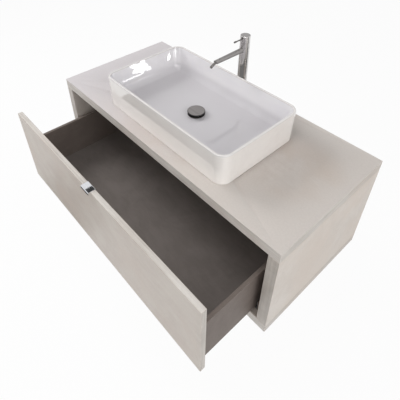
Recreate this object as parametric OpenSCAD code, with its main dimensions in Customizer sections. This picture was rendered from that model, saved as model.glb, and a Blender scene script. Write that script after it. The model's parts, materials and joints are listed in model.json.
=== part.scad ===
// Wall-hung vanity unit: a carcass of thick boards with one inset drawer on concealed runners,
// a vessel basin with a press-to-close waste, and a tall tap with a pin lever.
// +X is to the right seen from the front, the wall is the plane Y = 0 and the front faces -Y.
// The origin is the centre of the wall fixings. The drawer stands part open.

/* [Carcass] */
// Width over the side panels
carcass_w = 1100; // [900:10:1400]
// Depth from the wall to the front edges
carcass_d = 500; // [480:5:560]
// Height over the top and bottom panels
carcass_h = 400; // [380:5:480]
// Thickness of the four carcass panels
panel_t = 36; // [30:1:40]
// Thickness of the rear rails
rail_t = 18; // [15:1:22]
// Height of the upper rear rail
upper_rail_h = 120; // [110:1:150]
// Height of the lower rear rail
lower_rail_h = 80; // [60:1:120]
// Height of the top surface above the centre of the wall fixings
hang_drop = 84; // [82:1:100]

/* [Wall hangers] */
// Width of a wall plate
plate_w = 35; // [30:1:40]
// Thickness of a wall plate
plate_t = 2.5; // [2:0.1:3]
// Vertical distance between the two screws of a wall plate
plate_pitch = 24; // [20:1:26]
// Radius of the wall plate's screw holes
plate_hole_r = 3.25; // [2.5:0.05:4]
// Metal above and below the holes of a wall plate
plate_margin = 10; // [8:0.5:11]
// Space behind the upturned lip of a wall plate
plate_lip_gap = 4; // [3:0.1:5]
// Height of the lip
plate_lip_h = 9.5; // [8:0.5:11]
// Distance from a wall plate to the side panel
plate_side_gap = 2; // [1:0.5:4]
// Width of a hanger housing
hanger_w = 18; // [16:0.5:20]
// Depth of a hanger housing
hanger_d = 36; // [32:1:44]
// Height of a hanger housing below the wall fixings' centre
hanger_below = 30; // [28:1:34]
// Thickness of the steel hook
hook_t = 4; // [3:0.5:5]
// Height of the hook's arm
hook_arm_h = 9; // [7:0.5:10]
// Space round the hook
hook_gap = 0.3; // [0.2:0.05:0.5]

/* [Dowels] */
// Radius of the dowels in the carcass corners
dowel_r = 5; // [4:0.5:6]
// Length of the dowels in the carcass corners
dowel_l = 50; // [40:1:56]
// Dowels along each carcass corner
corner_dowels = 4; // [2:1:6]
// Distance of the outer dowels from the panels' front and back edges
dowel_margin = 50; // [40:1:80]
// Radius of the dowels at the rear rails' ends
rail_dowel_r = 4; // [3:0.5:5]
// Length of the dowels at the rear rails' ends
rail_dowel_l = 40; // [30:1:50]
// Radius of the drawer's dowels
box_dowel_r = 3; // [2.5:0.5:4]
// Length of the drawer's dowels
box_dowel_l = 26; // [20:1:30]
// Dowels in each corner of the drawer
box_dowels = 3; // [2:1:4]
// Space round a dowel
dowel_gap = 0.1; // [0.05:0.05:0.2]
// Space at each end of a dowel
dowel_end_gap = 0.5; // [0.2:0.1:1]

/* [Drawer] */
// Thickness of the drawer front
front_t = 18; // [16:1:20]
// Gap between the drawer front and the carcass
front_gap = 3; // [2:0.5:4]
// How far the drawer stands open
drawer_open = 230; // [0:5:400]
// Space behind the shut drawer and its runners, to the rear rails
rear_gap = 62; // [20:1:100]
// Thickness of the drawer's sides
side_t = 12; // [11:0.5:13]
// Height of the drawer's sides
side_h = 190; // [120:5:200]
// Gap between a drawer side and the carcass
side_gap = 22; // [21:0.5:24]
// Height of the drawer side's lower edge above the bottom panel
side_lift = 12; // [10:0.5:16]
// Thickness of the drawer's back
back_t = 12; // [11:0.5:16]
// Thickness of the drawer's floor
floor_t = 10; // [8:0.5:12]
// Height of the floor's underside above the bottom panel
floor_lift = 34; // [32:0.5:38]
// Depth of the grooves that hold the floor
groove_d = 6; // [4:0.5:7]

/* [Drawer pull] */
// Width of the pull
pull_w = 44; // [30:1:200]
// Thickness of the pull's metal
pull_t = 2; // [1.5:0.1:2.4]
// How far the pull stands out in front of the drawer front
pull_overhang = 8; // [7:0.5:15]
// Height of the pull's front lip
pull_lip_h = 10; // [8:0.5:16]
// Height of the flange behind the drawer front
pull_flange_h = 22; // [20:1:30]
// Outer radius of the pull's bends
pull_bend_r = 2.5; // [2.4:0.1:3]
// Distance between the pull's screws
pull_pitch = 24; // [16:1:28]

/* [Runners] */
// Thickness of the packer between the side panel and the cabinet rail
packer_t = 16; // [15:0.5:16.5]
// Height of the packer
packer_h = 50; // [45:1:60]
// Distance of the rails' front ends from the closed drawer front
rail_setback = 2; // [1.5:0.5:4]
// Sheet thickness of the rails
sheet_t = 1.5; // [1.3:0.1:1.7]
// Height of the cabinet rail above the bottom panel
rail_lift = 3; // [2:0.5:4]
// Height of the cabinet rail's upright flange
flange_h = 40; // [36:1:44]
// Distance from the packer to the rail's channel
channel_in = 22; // [21:0.5:24]
// Width of the rail's channel
channel_w = 26; // [25:0.5:30]
// Width of the channel's lips with their wall
lip_w = 6; // [5.5:0.1:6.5]
// Height between a lip and the slide's flange
lip_gap = 1; // [0.6:0.1:1.5]
// How much shorter the middle slide is than the cabinet rail
slide_short = 20; // [10:1:30]
// Width of the middle slide's flanges
slide_w = 18; // [17:0.5:19]
// Distance of the drawer rail's front end from the drawer front
drawer_rail_setback = 12; // [10:0.5:13]
// Radius of a roller
roller_r = 2.7; // [2.4:0.05:2.8]
// Length of a roller
roller_l = 10; // [8:0.5:11]
// Rollers in each cage
rollers = 6; // [3:1:6]
// Distance between rollers
roller_pitch = 28; // [20:1:30]
// Running gap above and below a roller
roller_gap = 0.05; // [0.02:0.01:0.1]
// Width of a roller cage
cage_w = 14; // [13:0.5:15]
// Thickness of a roller cage
cage_t = 3; // [2:0.5:4]
// Space between a roller and its window in the cage
window_gap = 0.3; // [0.2:0.1:0.5]
// Screws along each cabinet rail
rail_screws = 4; // [2:1:6]

/* [Front clips] */
// Width of a front clip under the drawer's floor
clip_w = 42; // [40:1:50]
// Depth of a front clip
clip_d = 42; // [40:1:46]
// Thickness of a front clip
clip_h = 12; // [10:0.5:12]
// Gap between a front clip and the drawer rail
clip_gap = 2; // [1.5:0.5:3]
// Radius of the release lever's pivot
pivot_r = 2.5; // [2:0.1:3]
// Running gap at the pivot
pivot_gap = 0.05; // [0.03:0.01:0.1]
// Thickness of the release lever
trigger_t = 9; // [7:0.5:9.5]
// Length of the release lever's finger arm
trigger_l = 30; // [24:1:34]
// Width of the release lever's arms
trigger_w = 7; // [6:0.5:7]

/* [Basin] */
// Width of the basin at its rim
basin_w = 600; // [500:10:800]
// Depth of the basin at its rim, front to back
basin_d = 350; // [300:5:360]
// Height of the basin
basin_h = 115; // [90:5:150]
// Distance from the wall to the basin's centre
basin_setback = 281; // [270:1:300]
// Corner radius at the rim
basin_corner_r = 39; // [25:1:60]
// Inward slope of each outer wall over its height
basin_draft = 2; // [0:0.5:10]
// Thickness of the rim
rim_t = 8; // [6:0.5:14]
// Rounding of the rim's outer edge
rim_r = 3; // [2:0.5:4]
// Easing of the rim's inner edge
rim_ease = 1.5; // [1:0.5:2]
// Inward slope of each inner wall over its height
inner_draft = 6; // [2:1:14]
// Radius of the cove between the inner walls and the floor
cove_r = 26; // [15:1:40]
// Height of the basin's floor above the top surface
basin_floor_z = 18; // [16:0.5:24]
// Depth of the recess under the floor
foot_recess = 8; // [4:0.5:10]
// Width of the foot round the recess
foot_w = 28; // [20:1:40]
// Thickness of the sealant bead
bead_t = 3; // [2:0.5:4]

/* [Waste] */
// Radius of the waste's threaded tail
waste_r = 20.95; // [18:0.05:22]
// Wall of the tail
waste_wall = 3; // [2:0.5:4]
// Length of the tail below the top surface
waste_tail_l = 92; // [70:1:100]
// Radius of the flange on the basin's floor
waste_flange_r = 31; // [29:0.5:34]
// Thickness of the flange
waste_flange_t = 2.5; // [2:0.5:4]
// Thickness of the gasket under the flange
gasket_t = 1.5; // [1:0.5:3]
// Radius of the press cap
waste_cap_r = 31.5; // [29:0.5:36]
// Thickness of the press cap
waste_cap_t = 3; // [2.5:0.5:5]
// Thickness of the cap's sealing ring
cap_seal_t = 1.5; // [1:0.5:2.5]
// Travel of the cap between open and shut
waste_travel = 6.5; // [5:0.5:10]
// Radius of the cap's stem
cap_stem_r = 3.5; // [3:0.1:4]
// Radius of the core's barrel
core_r = 9; // [8:0.5:10]
// Height of the waste's back nut
waste_nut_h = 12; // [8:1:16]
// Outer radius of the waste's back nut
waste_nut_r = 30; // [28:0.5:34]
// Thickness of the rubber washer above the back nut
waste_washer_t = 3; // [2:0.5:4]
// Width of the relief between the back nut's thread and the trap's thread
relief_w = 3; // [2:0.5:4]
// Depth of the relief
relief_d = 1; // [0.5:0.1:1.5]
// Radius of the hole for the waste in the top panel
waste_hole_r = 25; // [24:0.5:26]

/* [Tap] */
// Radius of the tap's column
tap_r = 18; // [17.5:0.5:22]
// Height of the tap above the top surface
tap_h = 244; // [200:1:300]
// Height of the turning cap
cap_h = 44; // [42:1:48]
// Distance from the wall to the tap's centre
tap_setback = 50; // [45:1:60]
// Drop of the spout's centre line below the tap's top
spout_drop = 54; // [53:1:70]
// Distance from the tap's centre to the end of the spout's taper
spout_reach = 144; // [100:1:180]
// Radius of the spout at the column
spout_r = 9.5; // [9:0.5:10]
// Radius of the spout at its end
spout_end_r = 7.5; // [7:0.5:9]
// Radius of the spout's waterway
spout_bore_r = 4.5; // [3:0.5:5]
// Radius of the outlet nozzle
nozzle_r = 4.5; // [4.3:0.1:5]
// Length of the outlet nozzle in front of the spout
nozzle_l = 25; // [15:1:35]
// Angle of the outlet nozzle below the horizontal
nozzle_tilt = 29; // [0:1:60]
// Drop of the lever below the tap's top
lever_drop = 10; // [9.5:0.5:12]
// Distance from the tap's centre to the lever's tip
lever_reach = 58; // [40:1:80]
// Radius of the lever
lever_r = 2.3; // [2:0.1:2.5]
// Radius of the lever's tip
lever_tip_r = 3.2; // [2.6:0.1:4]
// Length of the lever's tip
lever_tip_l = 10; // [6:0.5:14]
// Lift of the lever from shut to full flow
lever_lift = 22; // [10:1:22]

/* [Tap inside] */
// Distance from the tap's centre forward to the lever's pivot
lever_ahead = 9; // [8.8:0.1:10]
// Radius of the lever's pivot pin
lever_pin_r = 1.5; // [1.2:0.1:1.8]
// Radius of the lever's hub
hub_r = 3.8; // [3.5:0.1:3.9]
// Width of the lever's hub
hub_w = 8; // [7:0.5:8]
// Radius of the ball at the lever's inner end
ball_r = 2; // [1.8:0.1:2.2]
// Radius of the neck that the cap turns on
neck_r = 15.2; // [14.8:0.1:15.4]
// Height of the neck
neck_h = 12; // [10:0.5:13]
// Running gap between the cap and the neck
turn_gap = 0.05; // [0.03:0.01:0.1]
// Thickness of the cap's top
cap_top_t = 3; // [2:0.5:3]
// Gap between the cap and the column
cap_gap = 0.4; // [0.3:0.1:0.8]
// Radius of the bore for the cartridge
bore_r = 13.4; // [13:0.1:13.6]
// Height of the cartridge
cartridge_h = 50; // [46:1:54]
// Radius of the cartridge's barrel
cartridge_r = 11.4; // [10.5:0.1:11.8]
// Height of each of the cartridge's collars
collar_h = 7; // [6:0.5:8]
// Height of the cartridge's ring nut
ring_nut_h = 6; // [4:0.5:7]
// Radius of the cartridge's stem
stem_r = 4; // [3.5:0.1:4.2]
// Depth of the stem's bore in the cartridge
stem_bore_l = 34; // [30:1:36]
// Radius of the tap's threaded shank
shank_r = 14; // [13.8:0.1:14.2]
// Wall of the shank
shank_wall = 2.1; // [1.8:0.1:2.3]
// Length of the shank below the top surface
shank_l = 60; // [55:1:70]
// Depth of the shank's socket in the column
socket_d = 14; // [10:1:18]
// Radius of the threaded inlets for the supply hoses
inlet_r = 4.5; // [4:0.1:4.6]
// Depth of the inlets
inlet_d = 12; // [8:1:16]
// Distance of each inlet from the tap's centre
inlet_off = 6.3; // [6.1:0.1:6.6]
// Radius of the waterways to the cartridge
waterway_r = 4.2; // [3.9:0.1:4.3]
// Radius of the hole for the tap in the top panel
tap_hole_r = 17.5; // [15:0.1:17.6]
// Thickness of the tap's rubber washer
tap_washer_t = 2.5; // [1.5:0.5:4]
// Outer radius of the tap's rubber washer
tap_washer_r = 24; // [20:0.5:26]
// Height of the tap's back nut
tap_nut_h = 9; // [6:0.5:12]
// Radius over the corners of the tap's back nut
tap_nut_r = 20.8; // [18:0.1:23]

/* [Screws] */
// Radius of the screws
screw_r = 2; // [1.6:0.1:2.4]
// Radius of the screw heads
screw_head_r = 4; // [3:0.1:4.4]
// Height of the screw heads
screw_head_h = 2.2; // [1.5:0.1:2.6]
// Space round a screw in its hole
screw_gap = 0.1; // [0.05:0.05:0.2]
// Length of the screws through cabinet rail, packer and side panel
long_screw_l = 34; // [26:1:40]
// Length of the drawer's screws
short_screw_l = 12; // [10:0.5:12]
// Length of a hanger's fixing screws
hanger_screw_l = 32; // [26:1:40]
// Radius of a hanger's adjusting screws
adjuster_r = 3; // [2.5:0.1:3.5]

/* [Hidden] */
$fn = 64;

// Overrun of every cut past the face that it opens
over = 1;
// Thickness of the slices that a hull joins
slice_t = 0.1;
// Facets of a full circle in hulls
hull_fn = 48;
// Steps along a quarter round in hulls
round_steps = 6;

// Colours of the finishes
plaster = [0.80, 0.77, 0.73];
front_plaster = [0.74, 0.71, 0.67];
taupe = [0.44, 0.40, 0.38];
beech = [0.82, 0.68, 0.50];
zinc = [0.72, 0.73, 0.75];
chrome = [0.85, 0.86, 0.88];
steel = [0.58, 0.56, 0.54];
brass = [0.80, 0.66, 0.36];
glaze = [0.93, 0.93, 0.92];
rubber = [0.13, 0.13, 0.14];
grey_plastic = [0.50, 0.51, 0.53];
white_plastic = [0.88, 0.88, 0.86];

// Carcass planes
top_z = hang_drop;
top_under_z = top_z - panel_t;
base_z = top_z - carcass_h;
floor_z = base_z + panel_t;
inner_x = carcass_w / 2 - panel_t;
edge_x = inner_x + panel_t / 2;

// Wall plates and hangers
plate_x = inner_x - plate_side_gap - plate_w / 2;
plate_flat = plate_pitch / 2 + plate_margin;
plate_lip_low = plate_flat + plate_t;
plate_top = plate_lip_low + plate_lip_h;
hanger_wall = 8;
hanger_front_y = -rail_t - hanger_d;
hook_x = inner_x - hanger_w / 2;
hook_top = plate_top + hook_arm_h;
hook_front_y = hanger_front_y + hanger_wall + hook_gap;
hook_shank_w = 16;
hook_low = plate_flat / 2;
hanger_top = hook_top + hook_gap;
hanger_screw_z = -hanger_below + 2 * screw_head_r;

// Rear rails
notch_gap = 5;
notch_w = plate_w + plate_side_gap + notch_gap;
notch_low = -plate_flat - notch_gap;
upper_rail_low = top_under_z - upper_rail_h;
lower_rail_top = floor_z + lower_rail_h;

// Drawer planes with the drawer shut
shut_front_y = -carcass_d;
box_front_y = shut_front_y + front_t;
rail_l = carcass_d - front_t - rail_setback - rail_t - rear_gap;
box_back_y = box_front_y + rail_l;
side_x = inner_x - side_gap;
side_in_x = side_x - side_t;
side_low = floor_z + side_lift;
side_top = side_low + side_h;
tray_low = floor_z + floor_lift;
tray_top = tray_low + floor_t;
front_x = inner_x - front_gap;
front_low = floor_z + front_gap;
front_top = top_under_z - front_gap;

// Runner planes, heights above the bottom panel and places along the depth with the drawer shut
packer_x = inner_x - packer_t;
rail_front_y = box_front_y + rail_setback;
channel_x = packer_x - channel_in - channel_w / 2;
web_top = rail_lift + sheet_t;
slide_low = web_top + 2 * (roller_r + roller_gap);
channel_top = slide_low + 2 * sheet_t + lip_gap;
drawer_rail_under = floor_lift - sheet_t;
slide_top = drawer_rail_under - 2 * (roller_r + roller_gap);
drawer_lip_low = slide_top - 2 * sheet_t - lip_gap;
slide_front_y = rail_front_y + rail_setback;
slide_l = rail_l - slide_short;
slide_back_y = slide_front_y + slide_l;
cage_y = (rail_front_y + slide_back_y) / 2;
cage_l = rollers * roller_pitch;
drawer_rail_y = box_front_y + drawer_rail_setback;
rear_pin_r = 3;
rear_pin_l = 8;
rear_pin_z = tray_top + 2 * rear_pin_r;
rear_hook_top = rear_pin_z + 2 * rear_pin_r;

// Front clips, with the drawer shut
clip_x = channel_x - channel_w / 2 - clip_gap;
trigger_hub_r = 5;
trigger_rim = 4;
trigger_gap = 0.3;
trigger_arc = 1.2;
trigger_top = floor_lift - clip_h - trigger_gap;
trigger_back = 16;
pivot_x = clip_x - trigger_hub_r - trigger_rim;
pivot_y = box_front_y + clip_d / 3;
pivot_head_t = 1.5;
pivot_head_r = 3.3;
clip_bar_d = clip_d / 2 + trigger_gap;
prong_w = 7;
prong_y = pivot_y + trigger_back - prong_w / 2;
side_play = 0.8;
tongue_h = 4;
tongue_l = 8;

// Basin and waste, heights above the top surface
basin_y = -basin_setback;
gasket_top = basin_floor_z + gasket_t;
flange_top = gasket_top + waste_flange_t;
cap_under = flange_top + waste_travel + cap_seal_t;
waste_cap_top = cap_under + waste_cap_t;
waste_bore_r = waste_r - waste_wall;
waste_nut_top = -panel_t - waste_washer_t;
relief_top = waste_nut_top - waste_nut_h - relief_w;
drain_gap = 1.5;
spindle_r = 5;
hub_t = 8;
hub_wall = 3;
spoke_t = 3;
spokes = 3;
core_low = -2 * hub_t;
thread_gap = 0.05;

// Tap heights above the top surface
tap_y = -tap_setback;
column_h = tap_h - cap_h;
spout_z = tap_h - spout_drop;
lever_z = tap_h - lever_drop;
cap_in_r = neck_r + turn_gap;
cap_ceiling = tap_h - cap_top_t;
neck_top = column_h + neck_h;
ring_nut_top = neck_top - over;
cartridge_top = ring_nut_top - ring_nut_h;
cartridge_z = cartridge_top - cartridge_h;
collar_r = bore_r - thread_gap;
lever_gap = 0.4;
lever_slot_top = lever_z + (tap_r - lever_ahead) * tan(lever_lift)
    + lever_r / cos(lever_lift) + lever_gap;
lever_slot_low = lever_z - lever_r - lever_gap;
stem_head_r = 4.6;
stem_head_h = 10;
stem_top = lever_z + stem_head_h / 2 - lever_gap;
stem_low = cartridge_top - stem_bore_l + lever_ahead * sin(lever_lift) + over;
carrier_gap = 2;
ball_gap = 0.3;
pin_fit = 0.02;
lever_pin_l = 2 * sqrt(pow(neck_r, 2) - pow(lever_ahead + lever_pin_r, 2));
seal_wall = 1;
seal_t = 2;
spout_root_r = spout_end_r;
spout_root_in = 3;
nozzle_wall = 1.5;
nozzle_step = 0.5;
nozzle_root_r = nozzle_r - nozzle_step;
nozzle_root_l = 8;

// Evenly spaced values from a to b
function spread(n, a, b) = [for (i = [0:n - 1]) a + (b - a) * i / (n - 1)];

// The four carcass corner lines carry dowels along the depth
corner_dowel_ys = spread(corner_dowels, -carcass_d + dowel_margin, -dowel_margin);
upper_rail_dowel_zs = spread(2, upper_rail_low + 3 * rail_dowel_r, notch_low - 3 * rail_dowel_r);
lower_rail_dowel_zs = spread(2, floor_z + lower_rail_h / 4, lower_rail_top - lower_rail_h / 4);
box_dowel_zs = spread(box_dowels, tray_top + side_h / 8, side_top - side_h / 8);
rail_screw_ys = spread(rail_screws, rail_front_y + rail_l / 10, rail_front_y + rail_l - rail_l / 10);
flange_screw_z = floor_z + dowel_l / 2 + 2 * screw_head_r;

// Box between two corners
module block(low, high)
    translate(low) cube(high - low);

// Built for the right-hand side, mirrored for the left
module on_side(side)
    mirror([side < 0 ? 1 : 0, 0, 0]) children();

// Both sides at once
module both_sides()
    for (side = [-1, 1]) on_side(side) children();

// The drawer's pieces are placed for the shut drawer and stand open by this much
module moved(share)
    translate([0, -drawer_open * share, 0]) children();

// Upright cylinder between two heights
module post(r, low, high)
    translate([0, 0, low]) cylinder(r = r, h = high - low);

// Upright tube between two heights
module ring(r_out, r_in, low, high)
    difference() {
        post(r_out, low, high);
        post(r_in, low - over, high + over);
    }

// Screw with its head above z = 0 and its shank below
module screw(l) {
    cylinder(r = screw_head_r, h = screw_head_h);
    post(screw_r, -l, 0);
}

// Hole for a screw
module screw_hole(l)
    post(screw_r + screw_gap, -l - screw_gap, over);

// Chamfered dowel, centred
module dowel(r, l) {
    bevel = r / 5;
    rotate_extrude()
        polygon([
            [0, -l / 2], [r - bevel, -l / 2], [r, -l / 2 + bevel],
            [r, l / 2 - bevel], [r - bevel, l / 2], [0, l / 2]
        ]);
}

// Hole for a dowel, centred on the joint
module dowel_hole(r, l)
    cylinder(r = r + dowel_gap, h = l + 2 * dowel_end_gap, center = true);

// Places of the dowels
module at_corner_dowels()
    for (side = [-1, 1], z = [top_under_z, floor_z], y = corner_dowel_ys)
        translate([side * edge_x, y, z]) children();

module at_rail_dowels()
    for (side = [-1, 1], z = concat(upper_rail_dowel_zs, lower_rail_dowel_zs))
        translate([side * inner_x, -rail_t / 2, z]) rotate([0, 90, 0]) children();

module at_front_dowels()
    for (side = [-1, 1], z = box_dowel_zs)
        translate([side * (side_x - side_t / 2), box_front_y, z]) rotate([90, 0, 0]) children();

module at_back_dowels()
    both_sides() for (z = box_dowel_zs)
        translate([side_in_x, box_back_y - back_t / 2, z]) rotate([0, 90, 0]) children();

// A drawer dowel sits half as deep in the thin board as its length beyond
module front_dowel_shift()
    translate([0, 0, front_t / 2 - box_dowel_l / 2]) children();

module back_dowel_shift()
    translate([0, 0, side_t / 2 - box_dowel_l / 2]) children();

// Places of the screws, each with its head towards +Z
module at_rail_screws()
    for (y = rail_screw_ys)
        translate([packer_x - sheet_t, y, flange_screw_z]) rotate([0, -90, 0]) children();

module at_hanger_screws()
    for (y = [hanger_front_y + hanger_d / 4, hanger_front_y + 3 * hanger_d / 4])
        translate([inner_x - hanger_w, y, hanger_screw_z]) rotate([0, -90, 0]) children();

module at_adjusters()
    for (z = [0, hook_top - 2 * screw_head_r])
        translate([hook_x, hanger_front_y, z]) rotate([90, 0, 0]) children();

module at_pull_screws()
    for (side = [-1, 1])
        translate([side * pull_pitch / 2, box_front_y + pull_t, front_top - pull_flange_h / 2])
            rotate([-90, 0, 0]) children();

module at_clip_screws()
    for (x = [clip_x - clip_w + 1.5 * screw_head_r, clip_x - clip_w + 4.5 * screw_head_r])
        translate([x, box_front_y + clip_d - 1.5 * screw_head_r, floor_z + floor_lift - clip_h])
            rotate([180, 0, 0]) children();

// Carcass

module carcass_board(low_z)
    difference() {
        block([-carcass_w / 2, -carcass_d, low_z], [carcass_w / 2, 0, low_z + panel_t]);
        at_corner_dowels() dowel_hole(dowel_r, dowel_l);
    }

module top_panel()
    color(plaster) difference() {
        carcass_board(top_under_z);
        translate([0, basin_y, 0]) post(waste_hole_r, top_under_z - over, top_z + over);
        translate([0, tap_y, 0]) post(tap_hole_r, top_under_z - over, top_z + over);
    }

module bottom_panel()
    color(plaster) carcass_board(base_z);

module side_panel(side)
    color(plaster) difference() {
        on_side(side) block([inner_x, -carcass_d, floor_z], [inner_x + panel_t, 0, top_under_z]);
        at_corner_dowels() dowel_hole(dowel_r, dowel_l);
        at_rail_dowels() dowel_hole(rail_dowel_r, rail_dowel_l);
        on_side(side) at_rail_screws() screw_hole(long_screw_l);
        on_side(side) at_hanger_screws() screw_hole(hanger_screw_l);
    }

module rear_rail_upper()
    color(plaster) difference() {
        block([-inner_x, -rail_t, upper_rail_low], [inner_x, 0, top_under_z]);
        both_sides()
            block([inner_x - notch_w, -rail_t - over, notch_low],
                [inner_x + over, over, top_under_z + over]);
        at_rail_dowels() dowel_hole(rail_dowel_r, rail_dowel_l);
    }

module rear_rail_lower()
    color(plaster) difference() {
        block([-inner_x, -rail_t, floor_z], [inner_x, 0, lower_rail_top]);
        at_rail_dowels() dowel_hole(rail_dowel_r, rail_dowel_l);
    }

module carcass_dowels()
    color(beech) {
        at_corner_dowels() dowel(dowel_r, dowel_l);
        at_rail_dowels() dowel(rail_dowel_r, rail_dowel_l);
    }

// Wall hangers

module wall_plates()
    color(zinc) both_sides() difference() {
        translate([plate_x - plate_w / 2, 0, 0]) rotate([90, 0, 90])
            linear_extrude(plate_w) polygon([
                [0, -plate_flat], [-plate_t, -plate_flat], [-plate_t, plate_flat],
                [-plate_lip_gap - plate_t, plate_flat], [-plate_lip_gap - plate_t, plate_top],
                [-plate_lip_gap, plate_top], [-plate_lip_gap, plate_lip_low], [0, plate_lip_low]
            ]);
        for (z = [-plate_pitch / 2, plate_pitch / 2])
            translate([plate_x, 0, z]) rotate([90, 0, 0])
                post(plate_hole_r, -over, plate_t + over);
    }

module hanger_hooks()
    color(zinc) both_sides()
        translate([hook_x - hook_t / 2, 0, 0]) rotate([90, 0, 90])
            linear_extrude(hook_t) polygon([
                [-hook_gap, plate_lip_low + plate_t], [-hook_gap, hook_top],
                [hook_front_y, hook_top], [hook_front_y, -hook_low],
                [hook_front_y + hook_shank_w, -hook_low], [hook_front_y + hook_shank_w, plate_top],
                [-plate_lip_gap + hook_gap, plate_top],
                [-plate_lip_gap + hook_gap, plate_lip_low + plate_t]
            ]);

module hanger(side)
    color(white_plastic) on_side(side) difference() {
        block([inner_x - hanger_w, hanger_front_y, -hanger_below], [inner_x, -rail_t, hanger_top]);
        block(
            [hook_x - hook_t / 2 - hook_gap, hook_front_y - hook_gap, -hook_low - hook_gap],
            [hook_x + hook_t / 2 + hook_gap, -rail_t + over, hanger_top + over]
        );
        at_hanger_screws() screw_hole(hanger_w + over);
        at_adjusters() post(adjuster_r + screw_gap, -hanger_wall - over, over);
    }

module hanger_screws()
    color(zinc) both_sides() {
        at_hanger_screws() screw(hanger_screw_l);
        at_adjusters() {
            cylinder(r = screw_head_r, h = screw_head_h);
            post(adjuster_r, -hanger_wall, 0);
        }
    }

// Runners

module runner_packer(side)
    color(beech) on_side(side) difference() {
        block([packer_x, rail_front_y, floor_z], [inner_x, rail_front_y + rail_l, floor_z + packer_h]);
        at_rail_screws() screw_hole(sheet_t + packer_t + over);
    }

// Strip of sheet in the runner's cross-section, measured from the channel's middle and the bottom panel
module strip(x0, z0, x1, z1)
    translate([x0, z0]) square([x1 - x0, z1 - z0]);

// Both walls and both lips of a channel; the lips close its open side
module channel_walls(low, high, lip_low) {
    half = channel_w / 2;
    for (side = [-1, 1]) mirror([side < 0 ? 1 : 0, 0]) {
        strip(half - sheet_t, low, half, high);
        strip(half - lip_w, lip_low, half, lip_low + sheet_t);
    }
}

// A cross-section drawn about the channel's middle, run along the depth
module run(front_y, l)
    translate([channel_x, front_y + l, floor_z]) rotate([90, 0, 0]) linear_extrude(l) children();

module cabinet_rail(side)
    color(zinc) on_side(side) difference() {
        run(rail_front_y, rail_l) {
            strip(-channel_w / 2, rail_lift, packer_x - channel_x, web_top);
            strip(packer_x - channel_x - sheet_t, rail_lift, packer_x - channel_x, rail_lift + flange_h);
            channel_walls(rail_lift, channel_top, channel_top - sheet_t);
        }
        at_rail_screws() screw_hole(sheet_t + over);
    }

module rail_screw_set()
    color(zinc) both_sides() at_rail_screws() screw(long_screw_l);

module middle_slide(side)
    color(zinc) moved(1 / 2) on_side(side) run(slide_front_y, slide_l) {
        strip(-slide_w / 2, slide_low, slide_w / 2, slide_low + sheet_t);
        strip(-sheet_t / 2, slide_low, sheet_t / 2, slide_top);
        strip(-slide_w / 2, slide_top - sheet_t, slide_w / 2, slide_top);
    }

// Cage with its rollers; z is the height of the rollers' centres above the bottom panel
module roller_cage(z) {
    ys = spread(rollers, cage_y - cage_l / 2 + roller_pitch / 2, cage_y + cage_l / 2 - roller_pitch / 2);
    translate([channel_x, 0, floor_z + z]) {
        color(white_plastic) difference() {
            block([-cage_w / 2, cage_y - cage_l / 2, -cage_t / 2],
                [cage_w / 2, cage_y + cage_l / 2, cage_t / 2]);
            for (y = ys) {
                half_l = roller_l / 2 + window_gap;
                half_r = roller_r + window_gap;
                block([-half_l, y - half_r, -cage_t], [half_l, y + half_r, cage_t]);
            }
        }
        color(steel) for (y = ys)
            translate([0, y, 0]) rotate([0, 90, 0])
                cylinder(r = roller_r, h = roller_l, center = true);
    }
}

module lower_rollers()
    moved(1 / 4) both_sides() roller_cage(web_top + roller_gap + roller_r);

module upper_rollers()
    moved(3 / 4) both_sides() roller_cage(slide_top + roller_gap + roller_r);

// The drawer rail ends in an upright hook whose pin enters the drawer's back
module drawer_rail(side)
    color(zinc) moved(1) on_side(side) {
        difference() {
            run(drawer_rail_y, box_back_y - drawer_rail_y) {
                strip(-channel_w / 2, drawer_rail_under, channel_w / 2, floor_lift);
                channel_walls(drawer_lip_low, floor_lift, drawer_lip_low);
            }
            block(
                [channel_x - channel_w / 2 - over, prong_y - trigger_gap, floor_z + drawer_lip_low - over],
                [channel_x - channel_w / 2 + lip_w + over, prong_y + prong_w + trigger_arc,
                    floor_z + trigger_top + prong_w + trigger_gap]
            );
        }
        block(
            [channel_x - channel_w / 2, box_back_y, floor_z + drawer_rail_under],
            [channel_x + channel_w / 2, box_back_y + sheet_t, rear_hook_top]
        );
        translate([channel_x, box_back_y, rear_pin_z]) rotate([90, 0, 0])
            cylinder(r = rear_pin_r, h = rear_pin_l);
    }

// Front clips

module front_clip(side)
    color(grey_plastic) moved(1) on_side(side) {
        difference() {
            union() {
                block([clip_x - clip_w, box_front_y, floor_z + floor_lift - clip_h],
                    [clip_x, box_front_y + clip_bar_d, tray_low]);
                block([clip_x - clip_w, box_front_y, floor_z + floor_lift - clip_h],
                    [clip_x - clip_w / 2, box_front_y + clip_d, tray_low]);
                block([clip_x - over, box_front_y, tray_low - tongue_h - sheet_t],
                    [channel_x + slide_w / 2, drawer_rail_y - trigger_gap, tray_low]);
                block([channel_x - slide_w / 2 + side_play, box_front_y, tray_low - tongue_h - sheet_t],
                    [channel_x + slide_w / 2, drawer_rail_y + tongue_l, tray_low - sheet_t - trigger_gap]);
            }
            at_clip_screws() screw_hole(clip_h + over);
        }
        translate([pivot_x, pivot_y, floor_z + trigger_top - trigger_t - trigger_gap]) {
            post(pivot_r, -pivot_head_t, trigger_t + 3 * trigger_gap);
            post(pivot_head_r, -pivot_head_t, 0);
        }
    }

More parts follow.
